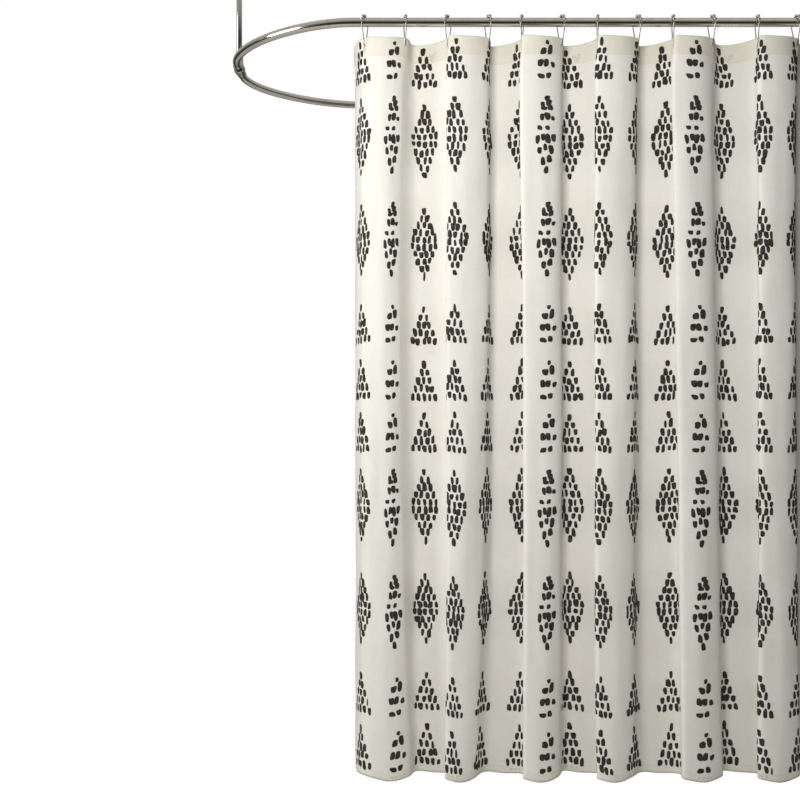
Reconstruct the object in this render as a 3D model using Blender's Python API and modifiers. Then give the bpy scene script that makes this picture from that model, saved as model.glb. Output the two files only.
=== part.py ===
"""Shower curtain on roller rings, hanging from an oval hoop rod with two ceiling supports.

Metres, +Z up. X runs along the hoop, -Y is the side the room sees. The origin is the centre of
the left ceiling flange's upper face, where it meets the ceiling.
"""
import math

import bmesh
import bpy
from mathutils import Matrix, Vector
from mathutils.geometry import interpolate_bezier

# Driving dimensions -------------------------------------------------------------------------

GAP = 0.0003                # left between touching pieces

CEILING_DROP = 0.420        # ceiling down to the rod's centre line
HOOP_DEPTH = 0.680          # front run to back run, between centre lines
STRAIGHT_RUN = 1.190        # straight part of the front and back runs
BEND_REACH = 0.345          # how far each rounded end reaches along X
BEND_HANDLE_END = 0.145     # how squarely the bend leaves the hoop's end
BEND_HANDLE_RUN = 0.150     # how squarely it joins the straight run
END_STUB = 0.028            # straight stub through each tee
ROD_OD = 0.0222
ROD_WALL = 0.0012

COLLAR_WALL = 0.0046        # tee's collar around the rod
COLLAR_LENGTH = 0.0300
SOCKET_WALL = 0.0032        # tee's socket around the drop tube
SOCKET_DEPTH = 0.0230
SOCKET_FLOOR = 0.0030       # metal between the collar and the drop tube's foot
SLEEVE_WALL = 0.0016
SLEEVE_LENGTH = 0.0340

DROP_TUBE_OD = 0.0160
DROP_TUBE_WALL = 0.0012
FLANGE_RIM = 0.0195         # width of the plate around the hub, which the screws go through
FLANGE_THICKNESS = 0.0060
FLANGE_EDGE = 0.0020        # slope at the plate's rim and at the foot of the hub
HUB_WALL = 0.0042
HUB_HEIGHT = 0.0260
HUB_FLOOR = 0.0040          # metal left between the drop tube's top end and the ceiling
SCREW_COUNT = 3
SCREW_SHANK_D = 0.0042
SCREW_CLEARANCE = 0.0004
SCREW_HEAD_D = 0.0084
SCREW_HEAD_HEIGHT = 0.0026
SCREW_LENGTH = 0.0300
SCREW_POINT = 0.0050
GRUB_D = 0.0050
GRUB_LENGTH = 0.0060

FIRST_RING_INSET = 0.026    # first ring in from the start of the straight run
LAST_RING_ROOM = 0.084      # straight run left free beyond the last ring
RING_SPACING = (100.5, 107.5, 100.5, 85.5, 97.5, 91.5, 99, 90, 97, 114, 97)  # to one another
RING_TWISTS_DEG = (20, -8, 25, -18, 15, -20, 8, -17, 8, -10, 6, -10)
RING_WIRE_D = 0.0028
RING_HEIGHT = 0.0755        # wire centre line, crown to foot
RING_SIDE_ROOM = 0.0045     # the crown's radius beyond the rod and one roller
RING_FOOT_R = 0.0046
ROLLER_D = 0.0082
ROLLER_ANGLES_DEG = (-72, -36, 0, 36, 72)

CURTAIN_WIDTH = 1.8288
CURTAIN_LENGTH = 1.8288
CLOTH_THICKNESS = 0.0010
HEADER_THICKNESS = 0.0015   # two turned layers
HEADER_DEPTH = 0.0480
BOTTOM_HEM_DEPTH = 0.0200
SIDE_HEM_WIDTH = 0.0120
HOLE_BELOW_TOP = 0.0180     # top edge down to the ring's foot, at a ring
TOP_SAG = 0.0075            # how far the top edge dips between two rings
BUTTONHOLE_WIDTH = 0.0110
BUTTONHOLE_HEIGHT = 0.0150
FOLD_SQUARENESS = 2.0       # higher gives flatter, steeper-sided folds
FOLD_EASE = 0.75            # how much the cloth straightens where a ring holds it
FOLD_EASE_REACH = 0.012
STEPS_PER_SPAN = 8

ROD_SIDES = 12
RING_SIDES = 6

# Sizes that follow from them ----------------------------------------------------------------

RING_COUNT = len(RING_SPACING) + 1
RING_SPREAD = STRAIGHT_RUN - FIRST_RING_INSET - LAST_RING_ROOM
RING_STEPS = [space * RING_SPREAD / sum(RING_SPACING) for space in RING_SPACING]
RING_CROWN_R = ROD_OD / 2 + GAP + ROLLER_D / 2 + RING_SIDE_ROOM
ROD_Z = -CEILING_DROP
FRONT_Y = -HOOP_DEPTH / 2
HOOP_LENGTH = 2 * BEND_REACH + STRAIGHT_RUN
JOINT_Y = COLLAR_LENGTH / 2 + GAP + SLEEVE_LENGTH / 2
ROD_BORE_R = ROD_OD / 2 + GAP
COLLAR_R = ROD_BORE_R + COLLAR_WALL
DROP_BORE_R = DROP_TUBE_OD / 2 + GAP
SOCKET_R = DROP_BORE_R + SOCKET_WALL
SOCKET_FLOOR_Z = ROD_Z + COLLAR_R + SOCKET_FLOOR
SOCKET_TOP_Z = SOCKET_FLOOR_Z + SOCKET_DEPTH
HUB_R = DROP_BORE_R + HUB_WALL
SCREW_CIRCLE_R = HUB_R + FLANGE_RIM / 2
GRUB_HOLE_R = GRUB_D / 2 + GAP
CROWN_Z = ROD_Z + ROD_OD / 2 + GAP + ROLLER_D / 2
FOOT_Z = CROWN_Z - RING_HEIGHT
TOP_EDGE_Z = FOOT_Z + HOLE_BELOW_TOP
BOTTOM_EDGE_Z = TOP_EDGE_Z - CURTAIN_LENGTH
HOLE_PITCH = CURTAIN_WIDTH / RING_COUNT

# Materials and small helpers ----------------------------------------------------------------

for old in list(bpy.data.objects):
    bpy.data.objects.remove(old)

parts = bpy.data.collections.new("shower_curtain")
bpy.context.scene.collection.children.link(parts)
cutters = bpy.data.collections.new("cutters")
bpy.context.scene.collection.children.link(cutters)


def material(name, colour, roughness, metallic):
    mat = bpy.data.materials.new(name)
    mat.use_nodes = True
    shader = mat.node_tree.nodes["Principled BSDF"]
    shader.inputs["Base Color"].default_value = (*colour, 1)
    shader.inputs["Roughness"].default_value = roughness
    shader.inputs["Metallic"].default_value = metallic
    return mat


ROD_STEEL = material("brushed_rod_steel", (0.46, 0.45, 0.43), 0.32, 1.0)
FITTING_STEEL = material("fitting_steel", (0.42, 0.41, 0.39), 0.28, 1.0)
RING_STEEL = material("ring_wire_steel", (0.60, 0.59, 0.57), 0.20, 1.0)
SCREW_STEEL = material("screw_steel", (0.55, 0.55, 0.54), 0.35, 1.0)
COTTON = material("ivory_cotton", (0.82, 0.80, 0.74), 0.9, 0.0)
HEM_COTTON = material("ivory_cotton_hem", (0.78, 0.76, 0.70), 0.9, 0.0)


def finish(obj, name, mat):
    """Name the object, put it with the parts and give it its material."""
    obj.name = name
    obj.data.name = name
    obj.data.materials.clear()
    obj.data.materials.append(mat)
    for collection in list(obj.users_collection):
        collection.objects.unlink(obj)
    parts.objects.link(obj)
    return obj


def mesh_object(name, bm):
    """Turn a bmesh into an object with its normals facing out."""
    bmesh.ops.recalc_face_normals(bm, faces=bm.faces)
    mesh = bpy.data.meshes.new(name)
    bm.to_mesh(mesh)
    bm.free()
    obj = bpy.data.objects.new(name, mesh)
    parts.objects.link(obj)
    return obj


def plain_mesh(obj):
    """The object as it is evaluated, as a plain mesh object in its place."""
    bpy.context.view_layer.update()
    evaluated = obj.evaluated_get(bpy.context.evaluated_depsgraph_get())
    mesh = bpy.data.meshes.new_from_object(evaluated)
    bm = bmesh.new()
    bm.from_mesh(mesh)
    bmesh.ops.remove_doubles(bm, verts=bm.verts, dist=0.00001)
    bm.to_mesh(mesh)
    bm.free()
    plain = bpy.data.objects.new(obj.name + "_mesh", mesh)
    plain.matrix_world = obj.matrix_world.copy()
    parts.objects.link(plain)
    bpy.data.objects.remove(obj)
    return plain


def wire(points, radius, sides, closed=False, capped=True):
    """A round bar along the points, made a mesh."""
    curve = bpy.data.curves.new("wire", "CURVE")
    curve.dimensions = "3D"
    curve.bevel_depth = radius
    curve.bevel_resolution = sides // 2 - 2
    curve.use_fill_caps = capped and not closed
    spline = curve.splines.new("POLY")
    spline.points.add(len(points) - 1)
    for point, place in zip(spline.points, points):
        point.co = (*place, 1)
    spline.use_cyclic_u = closed
    obj = bpy.data.objects.new("wire", curve)
    parts.objects.link(obj)
    return plain_mesh(obj)


def shade_round(obj, angle_deg=40):
    obj.data.shade_smooth()
    obj.data.set_sharp_from_angle(angle=math.radians(angle_deg))


def cylinder(radius, length, centre, axis="Z", sides=24):
    """A closed cylinder as an object, its axis along X, Y or Z."""
    turn = {"X": Matrix.Rotation(math.pi / 2, 4, "Y"), "Y": Matrix.Rotation(math.pi / 2, 4, "X"),
            "Z": Matrix.Identity(4)}[axis]
    bm = bmesh.new()
    bmesh.ops.create_cone(bm, cap_ends=True, segments=sides, radius1=radius, radius2=radius,
                          depth=length, matrix=Matrix.Translation(centre) @ turn)
    return mesh_object("cylinder", bm)


def boolean(obj, tools, operation):
    """Join the tools to the object, or cut them from it."""
    for tool in tools:
        for collection in list(tool.users_collection):
            collection.objects.unlink(tool)
        cutters.objects.link(tool)
        tool.hide_render = True
        tool.display_type = "WIRE"
        step = obj.modifiers.new(operation.lower(), "BOOLEAN")
        step.operation = operation
        step.object = tool
    joined = plain_mesh(obj)
    for tool in tools:
        bpy.data.objects.remove(tool)
    return joined


def turned(profile, centre, sides=24):
    """Spin a profile, listed down its outer side, about a vertical axis through the centre."""
    bm = bmesh.new()
    verts = [bm.verts.new((r, 0, z)) for r, z in profile]
    for above, below in zip(verts, verts[1:]):
        bm.edges.new((above, below))
    mesh = bpy.data.meshes.new("turned")
    bm.to_mesh(mesh)
    bm.free()
    obj = bpy.data.objects.new("turned", mesh)
    obj.location = centre
    parts.objects.link(obj)
    screw = obj.modifiers.new("turn", "SCREW")
    screw.steps = sides
    screw.render_steps = sides
    screw.use_merge_vertices = True
    screw.merge_threshold = 0.00005
    return plain_mesh(obj)


# Hoop rod: two bent tubes that meet behind the tees -----------------------------------------

def bend(start, end):
    """Points of the rounded corner from the hoop's end stub to the straight run."""
    side = math.copysign(1, end.y)
    inward = math.copysign(1, end.x - start.x)
    points = interpolate_bezier(start, start + Vector((0, side * BEND_HANDLE_END, 0)),
                                end - Vector((inward * BEND_HANDLE_RUN, 0, 0)), end, 10)
    return [Vector(point) for point in points]


def half_hoop(name, side, joint_y):
    """One tube of the hoop: side -1 is the front run, +1 the back run."""
    stub_y = side * END_STUB + (JOINT_Y if side > 0 else 0)
    left = bend(Vector((0, stub_y, ROD_Z)), Vector((BEND_REACH, side * HOOP_DEPTH / 2, ROD_Z)))
    right = bend(Vector((HOOP_LENGTH, stub_y, ROD_Z)),
                 Vector((HOOP_LENGTH - BEND_REACH, side * HOOP_DEPTH / 2, ROD_Z)))
    ends = (Vector((0, joint_y, ROD_Z)), Vector((HOOP_LENGTH, joint_y, ROD_Z)))
    path = [ends[0]] + left + right[::-1] + [ends[1]]
    tube = wire(path, ROD_OD / 2, ROD_SIDES, capped=False)
    wall = tube.modifiers.new("wall", "SOLIDIFY")
    wall.thickness = ROD_WALL
    wall.offset = -1
    shade_round(tube)
    return finish(tube, name, ROD_STEEL)


half_hoop("rod_front_half", -1, JOINT_Y - GAP / 2)
half_hoop("rod_back_half", 1, JOINT_Y + GAP / 2)


# Fittings at both ends: sleeve, tee, drop tube, flange and their screws ----------------------

def grub_screw(name, x, outward, z):
    """A short screw through a wall, its tip just short of the drop tube."""
    centre = (x + outward * (DROP_BORE_R + GAP + GRUB_LENGTH / 2), 0, z)
    grub = cylinder(GRUB_D / 2, GRUB_LENGTH, centre, "X", 10)
    shade_round(grub)
    return finish(grub, name, SCREW_STEEL)


def ceiling_screw(name, x, y):
    """A pan-head screw driven up through the flange into the ceiling."""
    head_top = -FLANGE_THICKNESS - GAP
    tip = head_top + SCREW_LENGTH
    shank_r = SCREW_SHANK_D / 2
    head_r = SCREW_HEAD_D / 2
    profile = ((0, tip), (shank_r, tip - SCREW_POINT), (shank_r, head_top), (head_r, head_top),
               (head_r, head_top - 0.5 * SCREW_HEAD_HEIGHT),
               (0.6 * head_r, head_top - SCREW_HEAD_HEIGHT), (0, head_top - SCREW_HEAD_HEIGHT))
    screw = turned(profile, (x, y, 0), 12)
    shade_round(screw)
    return finish(screw, name, SCREW_STEEL)


def sleeve(end, x):
    """The short tube that covers the joint between the two halves of the hoop."""
    body = cylinder(ROD_BORE_R + SLEEVE_WALL, SLEEVE_LENGTH, (x, JOINT_Y, ROD_Z), "Y")
    bore = cylinder(ROD_BORE_R, 2 * SLEEVE_LENGTH, (x, JOINT_Y, ROD_Z), "Y")
    body = boolean(body, [bore], "DIFFERENCE")
    shade_round(body)
    return finish(body, "rod_sleeve_" + end, FITTING_STEEL)


def ceiling_tee(end, x, outward):
    """A collar round the rod with a socket on top for the drop tube, and its grub screw."""
    neck_z = ROD_Z + (ROD_BORE_R + COLLAR_R) / 2
    grub_z = (SOCKET_FLOOR_Z + SOCKET_TOP_Z) / 2
    collar = cylinder(COLLAR_R, COLLAR_LENGTH, (x, 0, ROD_Z), "Y")
    socket = cylinder(SOCKET_R, SOCKET_TOP_Z - neck_z, (x, 0, (SOCKET_TOP_Z + neck_z) / 2))
    tee = boolean(collar, [socket], "UNION")
    tee = boolean(tee, [
        cylinder(ROD_BORE_R, 2 * COLLAR_LENGTH, (x, 0, ROD_Z), "Y"),
        cylinder(DROP_BORE_R, 2 * SOCKET_DEPTH, (x, 0, SOCKET_FLOOR_Z + SOCKET_DEPTH)),
        cylinder(GRUB_HOLE_R, SOCKET_R, (x + outward * SOCKET_R, 0, grub_z), "X", 12),
    ], "DIFFERENCE")
    shade_round(tee)
    finish(tee, "ceiling_tee_" + end, FITTING_STEEL)
    grub_screw("tee_grub_screw_" + end, x, outward, grub_z)


def drop_tube(end, x):
    """The tube from the ceiling flange down into the tee."""
    ends = [Vector((x, 0, SOCKET_FLOOR_Z + GAP)), Vector((x, 0, -HUB_FLOOR - GAP))]
    tube = wire(ends, DROP_TUBE_OD / 2, 16, capped=False)
    wall = tube.modifiers.new("wall", "SOLIDIFY")
    wall.thickness = DROP_TUBE_WALL
    wall.offset = -1
    shade_round(tube)
    return finish(tube, "drop_tube_" + end, ROD_STEEL)


def ceiling_flange(end, x, outward):
    """A round plate against the ceiling with a hub for the drop tube, its screws and grub screw."""
    rim = HUB_R + FLANGE_RIM
    flange = turned(((0, 0), (rim, 0), (rim, FLANGE_EDGE - FLANGE_THICKNESS),
                     (rim - FLANGE_EDGE, -FLANGE_THICKNESS), (HUB_R + FLANGE_EDGE, -FLANGE_THICKNESS),
                     (HUB_R, -FLANGE_THICKNESS - FLANGE_EDGE), (HUB_R, -HUB_HEIGHT),
                     (DROP_BORE_R, -HUB_HEIGHT), (DROP_BORE_R, -HUB_FLOOR), (0, -HUB_FLOOR)), (x, 0, 0))
    grub_z = -(FLANGE_THICKNESS + FLANGE_EDGE + HUB_HEIGHT) / 2
    holes = [cylinder(GRUB_HOLE_R, HUB_R, (x + outward * HUB_R, 0, grub_z), "X", 12)]
    for number in range(1, SCREW_COUNT + 1):
        angle = 2 * math.pi * number / SCREW_COUNT + math.pi / 2
        place = (x + SCREW_CIRCLE_R * math.cos(angle), SCREW_CIRCLE_R * math.sin(angle))
        holes.append(cylinder(SCREW_SHANK_D / 2 + SCREW_CLEARANCE, 4 * FLANGE_THICKNESS, (*place, 0),
                              "Z", 12))
        ceiling_screw("ceiling_screw_%s_%d" % (end, number), *place)
    flange = boolean(flange, holes, "DIFFERENCE")
    shade_round(flange)
    finish(flange, "ceiling_flange_" + end, FITTING_STEEL)
    grub_screw("flange_grub_screw_" + end, x, outward, grub_z)


for end, x, outward in (("left", 0, -1), ("right", HOOP_LENGTH, 1)):
    sleeve(end, x)
    ceiling_tee(end, x, outward)
    drop_tube(end, x)
    ceiling_flange(end, x, outward)


# Roller rings: a pear of spring wire with five balls on its crown ----------------------------

def ring_path():
    """The wire's centre line in the YZ plane, with the rod's centre at the origin."""
    crown = Vector((0, 0, CROWN_Z - ROD_Z - RING_CROWN_R))
    foot = Vector((0, 0, FOOT_Z - ROD_Z + RING_FOOT_R))
    lean = math.asin((RING_CROWN_R - RING_FOOT_R) / (crown.z - foot.z))
    points = []
    for centre, radius, steps, start, sweep in (
            (crown, RING_CROWN_R, 9, -math.pi / 2 - lean, math.pi + 2 * lean),
            (foot, RING_FOOT_R, 4, math.pi / 2 + lean, math.pi - 2 * lean)):
        for index in range(steps + 1):
            angle = start + sweep * index / steps
            points.append(centre + radius * Vector((0, math.sin(angle), math.cos(angle))))
    return points


def roller(angle_deg):
    """One ball, centred on the wire at an angle from the crown's top."""
    angle = math.radians(angle_deg)
    centre = Vector((0, RING_CROWN_R * math.sin(angle),
                     CROWN_Z - ROD_Z - RING_CROWN_R * (1 - math.cos(angle))))
    bm = bmesh.new()
    bmesh.ops.create_uvsphere(bm, u_segments=7, v_segments=5, radius=ROLLER_D / 2,
                              matrix=Matrix.Translation(centre))
    return mesh_object("roller", bm)


ring = boolean(wire(ring_path(), RING_WIRE_D / 2, RING_SIDES, closed=True),
               [roller(angle) for angle in ROLLER_ANGLES_DEG], "UNION")
ring_mesh = ring.data
bpy.data.objects.remove(ring)

ring_x = [BEND_REACH + FIRST_RING_INSET]
for step in RING_STEPS:
    ring_x.append(ring_x[-1] + step)

for number, (x, twist) in enumerate(zip(ring_x, RING_TWISTS_DEG), 1):
    ring = bpy.data.objects.new("ring", ring_mesh.copy())
    parts.objects.link(ring)
    ring.location = (x, FRONT_Y, ROD_Z)
    ring.rotation_euler = (0, 0, -math.radians(twist))
    shade_round(ring)
    finish(ring, "ring_%02d" % number, RING_STEEL)


# Curtain: one cloth in deep pleats, with a turned header and hems ----------------------------

def fold_angle(u, steepness, span):
    """Direction of the cloth, seen from above, at u along it; spans bulge front and back by turns."""
    share = u / HOLE_PITCH - 0.5 - span
    wave = math.cos(math.pi * share)
    nearest = min(share, 1 - share) if 0 <= share <= 1 else min(abs(share), abs(share - 1))
    ease = 1 - FOLD_EASE * math.exp(-((nearest * HOLE_PITCH / FOLD_EASE_REACH) ** 2))
    side = -1 if span % 2 == 0 else 1
    return side * steepness * ease * math.copysign(abs(wave) ** FOLD_SQUARENESS, wave)


def span_points(span, steepness, u_start, u_end, steps):
    """(u, dx, dy) along the cloth from u_start to u_end, measured from u_start."""
    place = Vector((0, 0))
    points = [(u_start, 0, 0)]
    for index in range(steps):
        middle = u_start + (index + 0.5) * (u_end - u_start) / steps
        angle = fold_angle(middle, steepness, span)
        place += Vector((math.cos(angle), math.sin(angle))) * abs(u_end - u_start) / steps
        points.append((u_start + (index + 1) * (u_end - u_start) / steps, place.x, place.y))
    return points


def steepness_for(step):
    """How steep a span's folds stand when its rings are the given step apart."""
    low, high = 0.0, 3.0
    for _ in range(40):
        middle = (low + high) / 2
        reach = span_points(0, middle, 0.5 * HOLE_PITCH, 1.5 * HOLE_PITCH, STEPS_PER_SPAN)[-1][1]
        low, high = (middle, high) if reach > step else (low, middle)
    return low


def cloth_path():
    """(u, x, y, dip) of the whole width: dip is 0 at a ring and 1 midway between two."""
    path = []
    edge_steepness = steepness_for(RING_STEPS[0])
    edge = span_points(1, edge_steepness, 1.5 * HOLE_PITCH, 2 * HOLE_PITCH, STEPS_PER_SPAN // 2)
    for u, dx, dy in edge[::-1]:
        share = u / HOLE_PITCH - 1.5
        path.append((0.5 * HOLE_PITCH - share * HOLE_PITCH, ring_x[0] - dx, FRONT_Y + dy,
                     math.sin(math.pi * share) ** 2))
    for span, (x, step) in enumerate(zip(ring_x, RING_STEPS)):
        start = (span + 0.5) * HOLE_PITCH
        points = span_points(span, steepness_for(step), start, start + HOLE_PITCH, STEPS_PER_SPAN)
        for u, dx, dy in points[1:]:
            share = (u - start) / HOLE_PITCH
            path.append((u, x + dx, FRONT_Y + dy, math.sin(math.pi * share) ** 2))
    last_side = 1 if len(RING_STEPS) % 2 else -1
    for u, dx, dy in edge[1:]:
        share = u / HOLE_PITCH - 1.5
        path.append((CURTAIN_WIDTH - 0.5 * HOLE_PITCH + share * HOLE_PITCH, ring_x[-1] + dx,
                     FRONT_Y + last_side * dy, math.sin(math.pi * share) ** 2))
    return path


def at(path, u):
    """The path's point at u, between its neighbours."""
    for before, after in zip(path, path[1:]):
        if before[0] <= u <= after[0]:
            share = (u - before[0]) / (after[0] - before[0])
            return tuple(a + share * (b - a) for a, b in zip(before, after))
    return path[-1]


def strip(path, u_low, u_high, z_low, z_high, thickness=CLOTH_THICKNESS):
    """An upright strip of cloth between two heights, each given as a function of the dip."""
    margin = 2 * CLOTH_THICKNESS
    inside = [point for point in path if u_low + margin < point[0] < u_high - margin]
    points = [at(path, u_low)] + inside + [at(path, u_high)]
    bm = bmesh.new()
    feet = [bm.verts.new((x, y, z_low(dip))) for _, x, y, dip in points]
    edges = [bm.edges.new(pair) for pair in zip(feet, feet[1:])]
    raised = bmesh.ops.extrude_edge_only(bm, edges=edges)["geom"]
    tops = [item for item in raised if isinstance(item, bmesh.types.BMVert)]
    for vert in tops:
        nearest = min(points, key=lambda point: (point[1] - vert.co.x) ** 2 + (point[2] - vert.co.y) ** 2)
        vert.co.z = z_high(nearest[3])
    obj = mesh_object("strip", bm)
    wall = obj.modifiers.new("cloth", "SOLIDIFY")
    wall.thickness = thickness
    wall.offset = 0
    wall.use_even_offset = True
    return plain_mesh(obj)


def top_edge(dip):
    return TOP_EDGE_Z - TOP_SAG * dip


def under_header(dip):
    return top_edge(dip) - HEADER_DEPTH


def panel_top(dip):
    return under_header(dip) - GAP


def bottom_edge(_dip):
    return BOTTOM_EDGE_Z


def hem_top(_dip):
    return BOTTOM_EDGE_Z + BOTTOM_HEM_DEPTH


def panel_foot(dip):
    return hem_top(dip) + GAP


hinge = bpy.data.objects.new("curtain_hinge", None)
hinge.location = (ring_x[0], FRONT_Y, FOOT_Z)
parts.objects.link(hinge)
bpy.context.view_layer.update()

path = cloth_path()
header = strip(path, 0, CURTAIN_WIDTH, under_header, top_edge, HEADER_THICKNESS)
slots = []
for x, twist in zip(ring_x, RING_TWISTS_DEG):
    bm = bmesh.new()
    bmesh.ops.create_cube(bm, size=1, matrix=Matrix.Diagonal(
        (BUTTONHOLE_WIDTH, 4 * RING_FOOT_R, BUTTONHOLE_HEIGHT, 1)))
    slot = mesh_object("slot", bm)
    slot.location = (x, FRONT_Y, FOOT_Z + BUTTONHOLE_HEIGHT / 2 - RING_WIRE_D)
    slot.rotation_euler = (0, 0, -math.radians(twist))
    slots.append(slot)

inner = (SIDE_HEM_WIDTH + GAP, CURTAIN_WIDTH - SIDE_HEM_WIDTH - GAP)
cloth = (
    ("header_band", boolean(header, slots, "DIFFERENCE"), HEM_COTTON),
    ("curtain_panel", strip(path, *inner, panel_foot, panel_top), COTTON),
    ("side_hem_left", strip(path, 0, SIDE_HEM_WIDTH, panel_foot, panel_top), HEM_COTTON),
    ("side_hem_right", strip(path, CURTAIN_WIDTH - SIDE_HEM_WIDTH, CURTAIN_WIDTH, panel_foot, panel_top),
     HEM_COTTON),
    ("bottom_hem", strip(path, 0, CURTAIN_WIDTH, bottom_edge, hem_top), HEM_COTTON),
)
for name, piece, mat in cloth:
    finish(piece, name, mat)
    piece.parent = hinge
    piece.matrix_parent_inverse = hinge.matrix_world.inverted()
    shade_round(piece, 60)
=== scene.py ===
"""The looks of a shower curtain on roller rings, hung from an oval hoop rod with ceiling supports."""
import math

import bmesh
import bpy
import numpy as np
from mathutils import Matrix, Vector, noise
from mathutils.geometry import interpolate_bezier


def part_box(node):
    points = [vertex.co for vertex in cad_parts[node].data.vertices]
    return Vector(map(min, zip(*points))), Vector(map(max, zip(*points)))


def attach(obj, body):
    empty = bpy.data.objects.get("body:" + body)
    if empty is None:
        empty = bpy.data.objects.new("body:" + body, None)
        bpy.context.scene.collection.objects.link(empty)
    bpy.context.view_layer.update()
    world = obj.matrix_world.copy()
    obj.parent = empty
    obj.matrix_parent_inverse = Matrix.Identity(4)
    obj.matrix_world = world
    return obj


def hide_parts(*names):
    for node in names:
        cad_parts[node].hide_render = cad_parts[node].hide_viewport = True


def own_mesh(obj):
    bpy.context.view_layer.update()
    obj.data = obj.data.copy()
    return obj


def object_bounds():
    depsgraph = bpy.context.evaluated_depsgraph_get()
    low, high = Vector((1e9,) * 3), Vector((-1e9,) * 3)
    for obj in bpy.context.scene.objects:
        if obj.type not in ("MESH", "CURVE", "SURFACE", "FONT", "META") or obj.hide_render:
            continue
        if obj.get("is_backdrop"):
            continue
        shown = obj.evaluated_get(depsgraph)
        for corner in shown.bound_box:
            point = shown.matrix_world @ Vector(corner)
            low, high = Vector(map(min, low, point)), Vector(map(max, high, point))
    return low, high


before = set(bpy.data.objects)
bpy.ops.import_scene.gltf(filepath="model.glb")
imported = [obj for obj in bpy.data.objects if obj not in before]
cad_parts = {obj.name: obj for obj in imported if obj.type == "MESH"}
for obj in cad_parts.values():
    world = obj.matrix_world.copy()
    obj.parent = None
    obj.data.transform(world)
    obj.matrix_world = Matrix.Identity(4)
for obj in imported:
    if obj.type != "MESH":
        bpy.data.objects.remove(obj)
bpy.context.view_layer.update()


# ---- Ceiling flanges ------------------------------------------------------------------------
# A turned steel plate sits flat against the ceiling at each end of the hoop, with a hub below it
# that takes the drop tube. The plate is polished; its rim and the foot of the hub are rounded.

TOUCH = 0.0003              # gap that the frame keeps between touching pieces
DROP_TUBE_OD = 0.0160
DROP_TUBE_WALL = 0.0012
DROP_BORE_R = DROP_TUBE_OD / 2 + TOUCH
PLATE_THICKNESS = 0.0060
HUB_R = 0.0125
HUB_FLOOR = 0.0040
HUB_FLARE = 0.0006          # how much wider the hub is where it leaves the plate
SCREW_HOLE_R = 0.0025
GRUB_HOLE_R = 0.0028
SCREW_HOLE_REACH = 0.02     # half the length of the tool that cuts a screw hole
GRUB_HOLE_REACH = 0.006
ROUNDING = 0.0012
SHARP_ANGLE = math.radians(38)


def node(tree, kind, **values):
    """Add a shader node. Each value is a property of it, or a number or socket for an input."""
    made = tree.nodes.new(kind)
    for name, value in values.items():
        if name in made.bl_rna.properties:
            setattr(made, name, value)
            continue
        if name.startswith("input_"):
            socket = made.inputs[int(name[6:])]
        else:
            socket = made.inputs[name.replace("_", " ")]
        if isinstance(value, bpy.types.NodeSocket):
            tree.links.new(value, socket)
        else:
            socket.default_value = value
    return made


def arithmetic(tree, operation, first, second=0.0, third=0.0):
    made = node(tree, "ShaderNodeMath", operation=operation, input_0=first, input_1=second, input_2=third)
    return made.outputs[0]


def spread(tree, value, low, high, to_low, to_high):
    """Turn a value between low and high into one between to_low and to_high."""
    made = node(tree, "ShaderNodeMapRange", Value=value, From_Min=low, From_Max=high,
                To_Min=to_low, To_Max=to_high)
    return made.outputs["Result"]


def cloudy(tree, place, scale, detail, **more):
    """Soft noise between 0 and 1."""
    made = node(tree, "ShaderNodeTexNoise", Vector=place, Scale=scale, Detail=detail, **more)
    return made.outputs["Fac"]


def stretched(tree, place, factors):
    made = node(tree, "ShaderNodeVectorMath", operation="MULTIPLY", input_0=place, input_1=factors)
    return made.outputs[0]


def shares(tree, first, first_share, second, second_share):
    """The sum of two values, each times its share."""
    return arithmetic(tree, "ADD", arithmetic(tree, "MULTIPLY", first, first_share),
                      arithmetic(tree, "MULTIPLY", second, second_share))


def between_colours(tree, share, first, second):
    made = node(tree, "ShaderNodeMix", data_type="RGBA", input_0=share, input_6=(*first, 1),
                input_7=(*second, 1))
    return made.outputs[2]


def effect(name, inputs, outputs, kind="ShaderNodeTree"):
    """An empty node group, with the sockets of its input and output nodes."""
    group = bpy.data.node_groups.new(name, kind)
    for label, content, default in inputs:
        socket = group.interface.new_socket(label, in_out="INPUT", socket_type="NodeSocket" + content)
        if default is not None:
            socket.default_value = default
    for label, content in outputs:
        group.interface.new_socket(label, in_out="OUTPUT", socket_type="NodeSocket" + content)
    return group, group.nodes.new("NodeGroupInput").outputs, group.nodes.new("NodeGroupOutput").inputs


def metal_grain_group():
    """Drawn or polished metal: fine lines along one direction, faint smudges and small pits."""
    group, given, out = effect("metal_grain", (
        ("Vector", "Vector", None), ("Stretch", "Vector", (1, 1, 1)), ("Smudge Scale", "Float", 30.0),
        ("Smooth", "Float", 0.15), ("Rough", "Float", 0.3)),
        (("Tint", "Float"), ("Roughness", "Float"), ("Height", "Float")))
    place = given["Vector"]
    lines = cloudy(group, stretched(group, place, given["Stretch"]), 1.0, 3.0, Roughness=0.6)
    smudges = cloudy(group, place, given["Smudge Scale"], 4.0, Roughness=0.62, Distortion=0.4)
    pits = node(group, "ShaderNodeTexVoronoi", Vector=place, Scale=900.0)
    specks = spread(group, pits.outputs["Distance"], 0.0, 0.16, 1.0, 0.0)
    worn = shares(group, spread(group, smudges, 0.4, 0.68, 0.0, 1.0), 0.7, lines, 0.3)
    group.links.new(spread(group, worn, 0, 1, 0, 1), out["Tint"])
    rough = node(group, "ShaderNodeMix", data_type="FLOAT", input_0=worn, input_2=given["Smooth"],
                 input_3=given["Rough"])
    group.links.new(rough.outputs[0], out["Roughness"])
    height = arithmetic(group, "SUBTRACT", lines, arithmetic(group, "MULTIPLY", specks, 0.3))
    group.links.new(height, out["Height"])
    return group


METAL_GRAIN = metal_grain_group()


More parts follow.
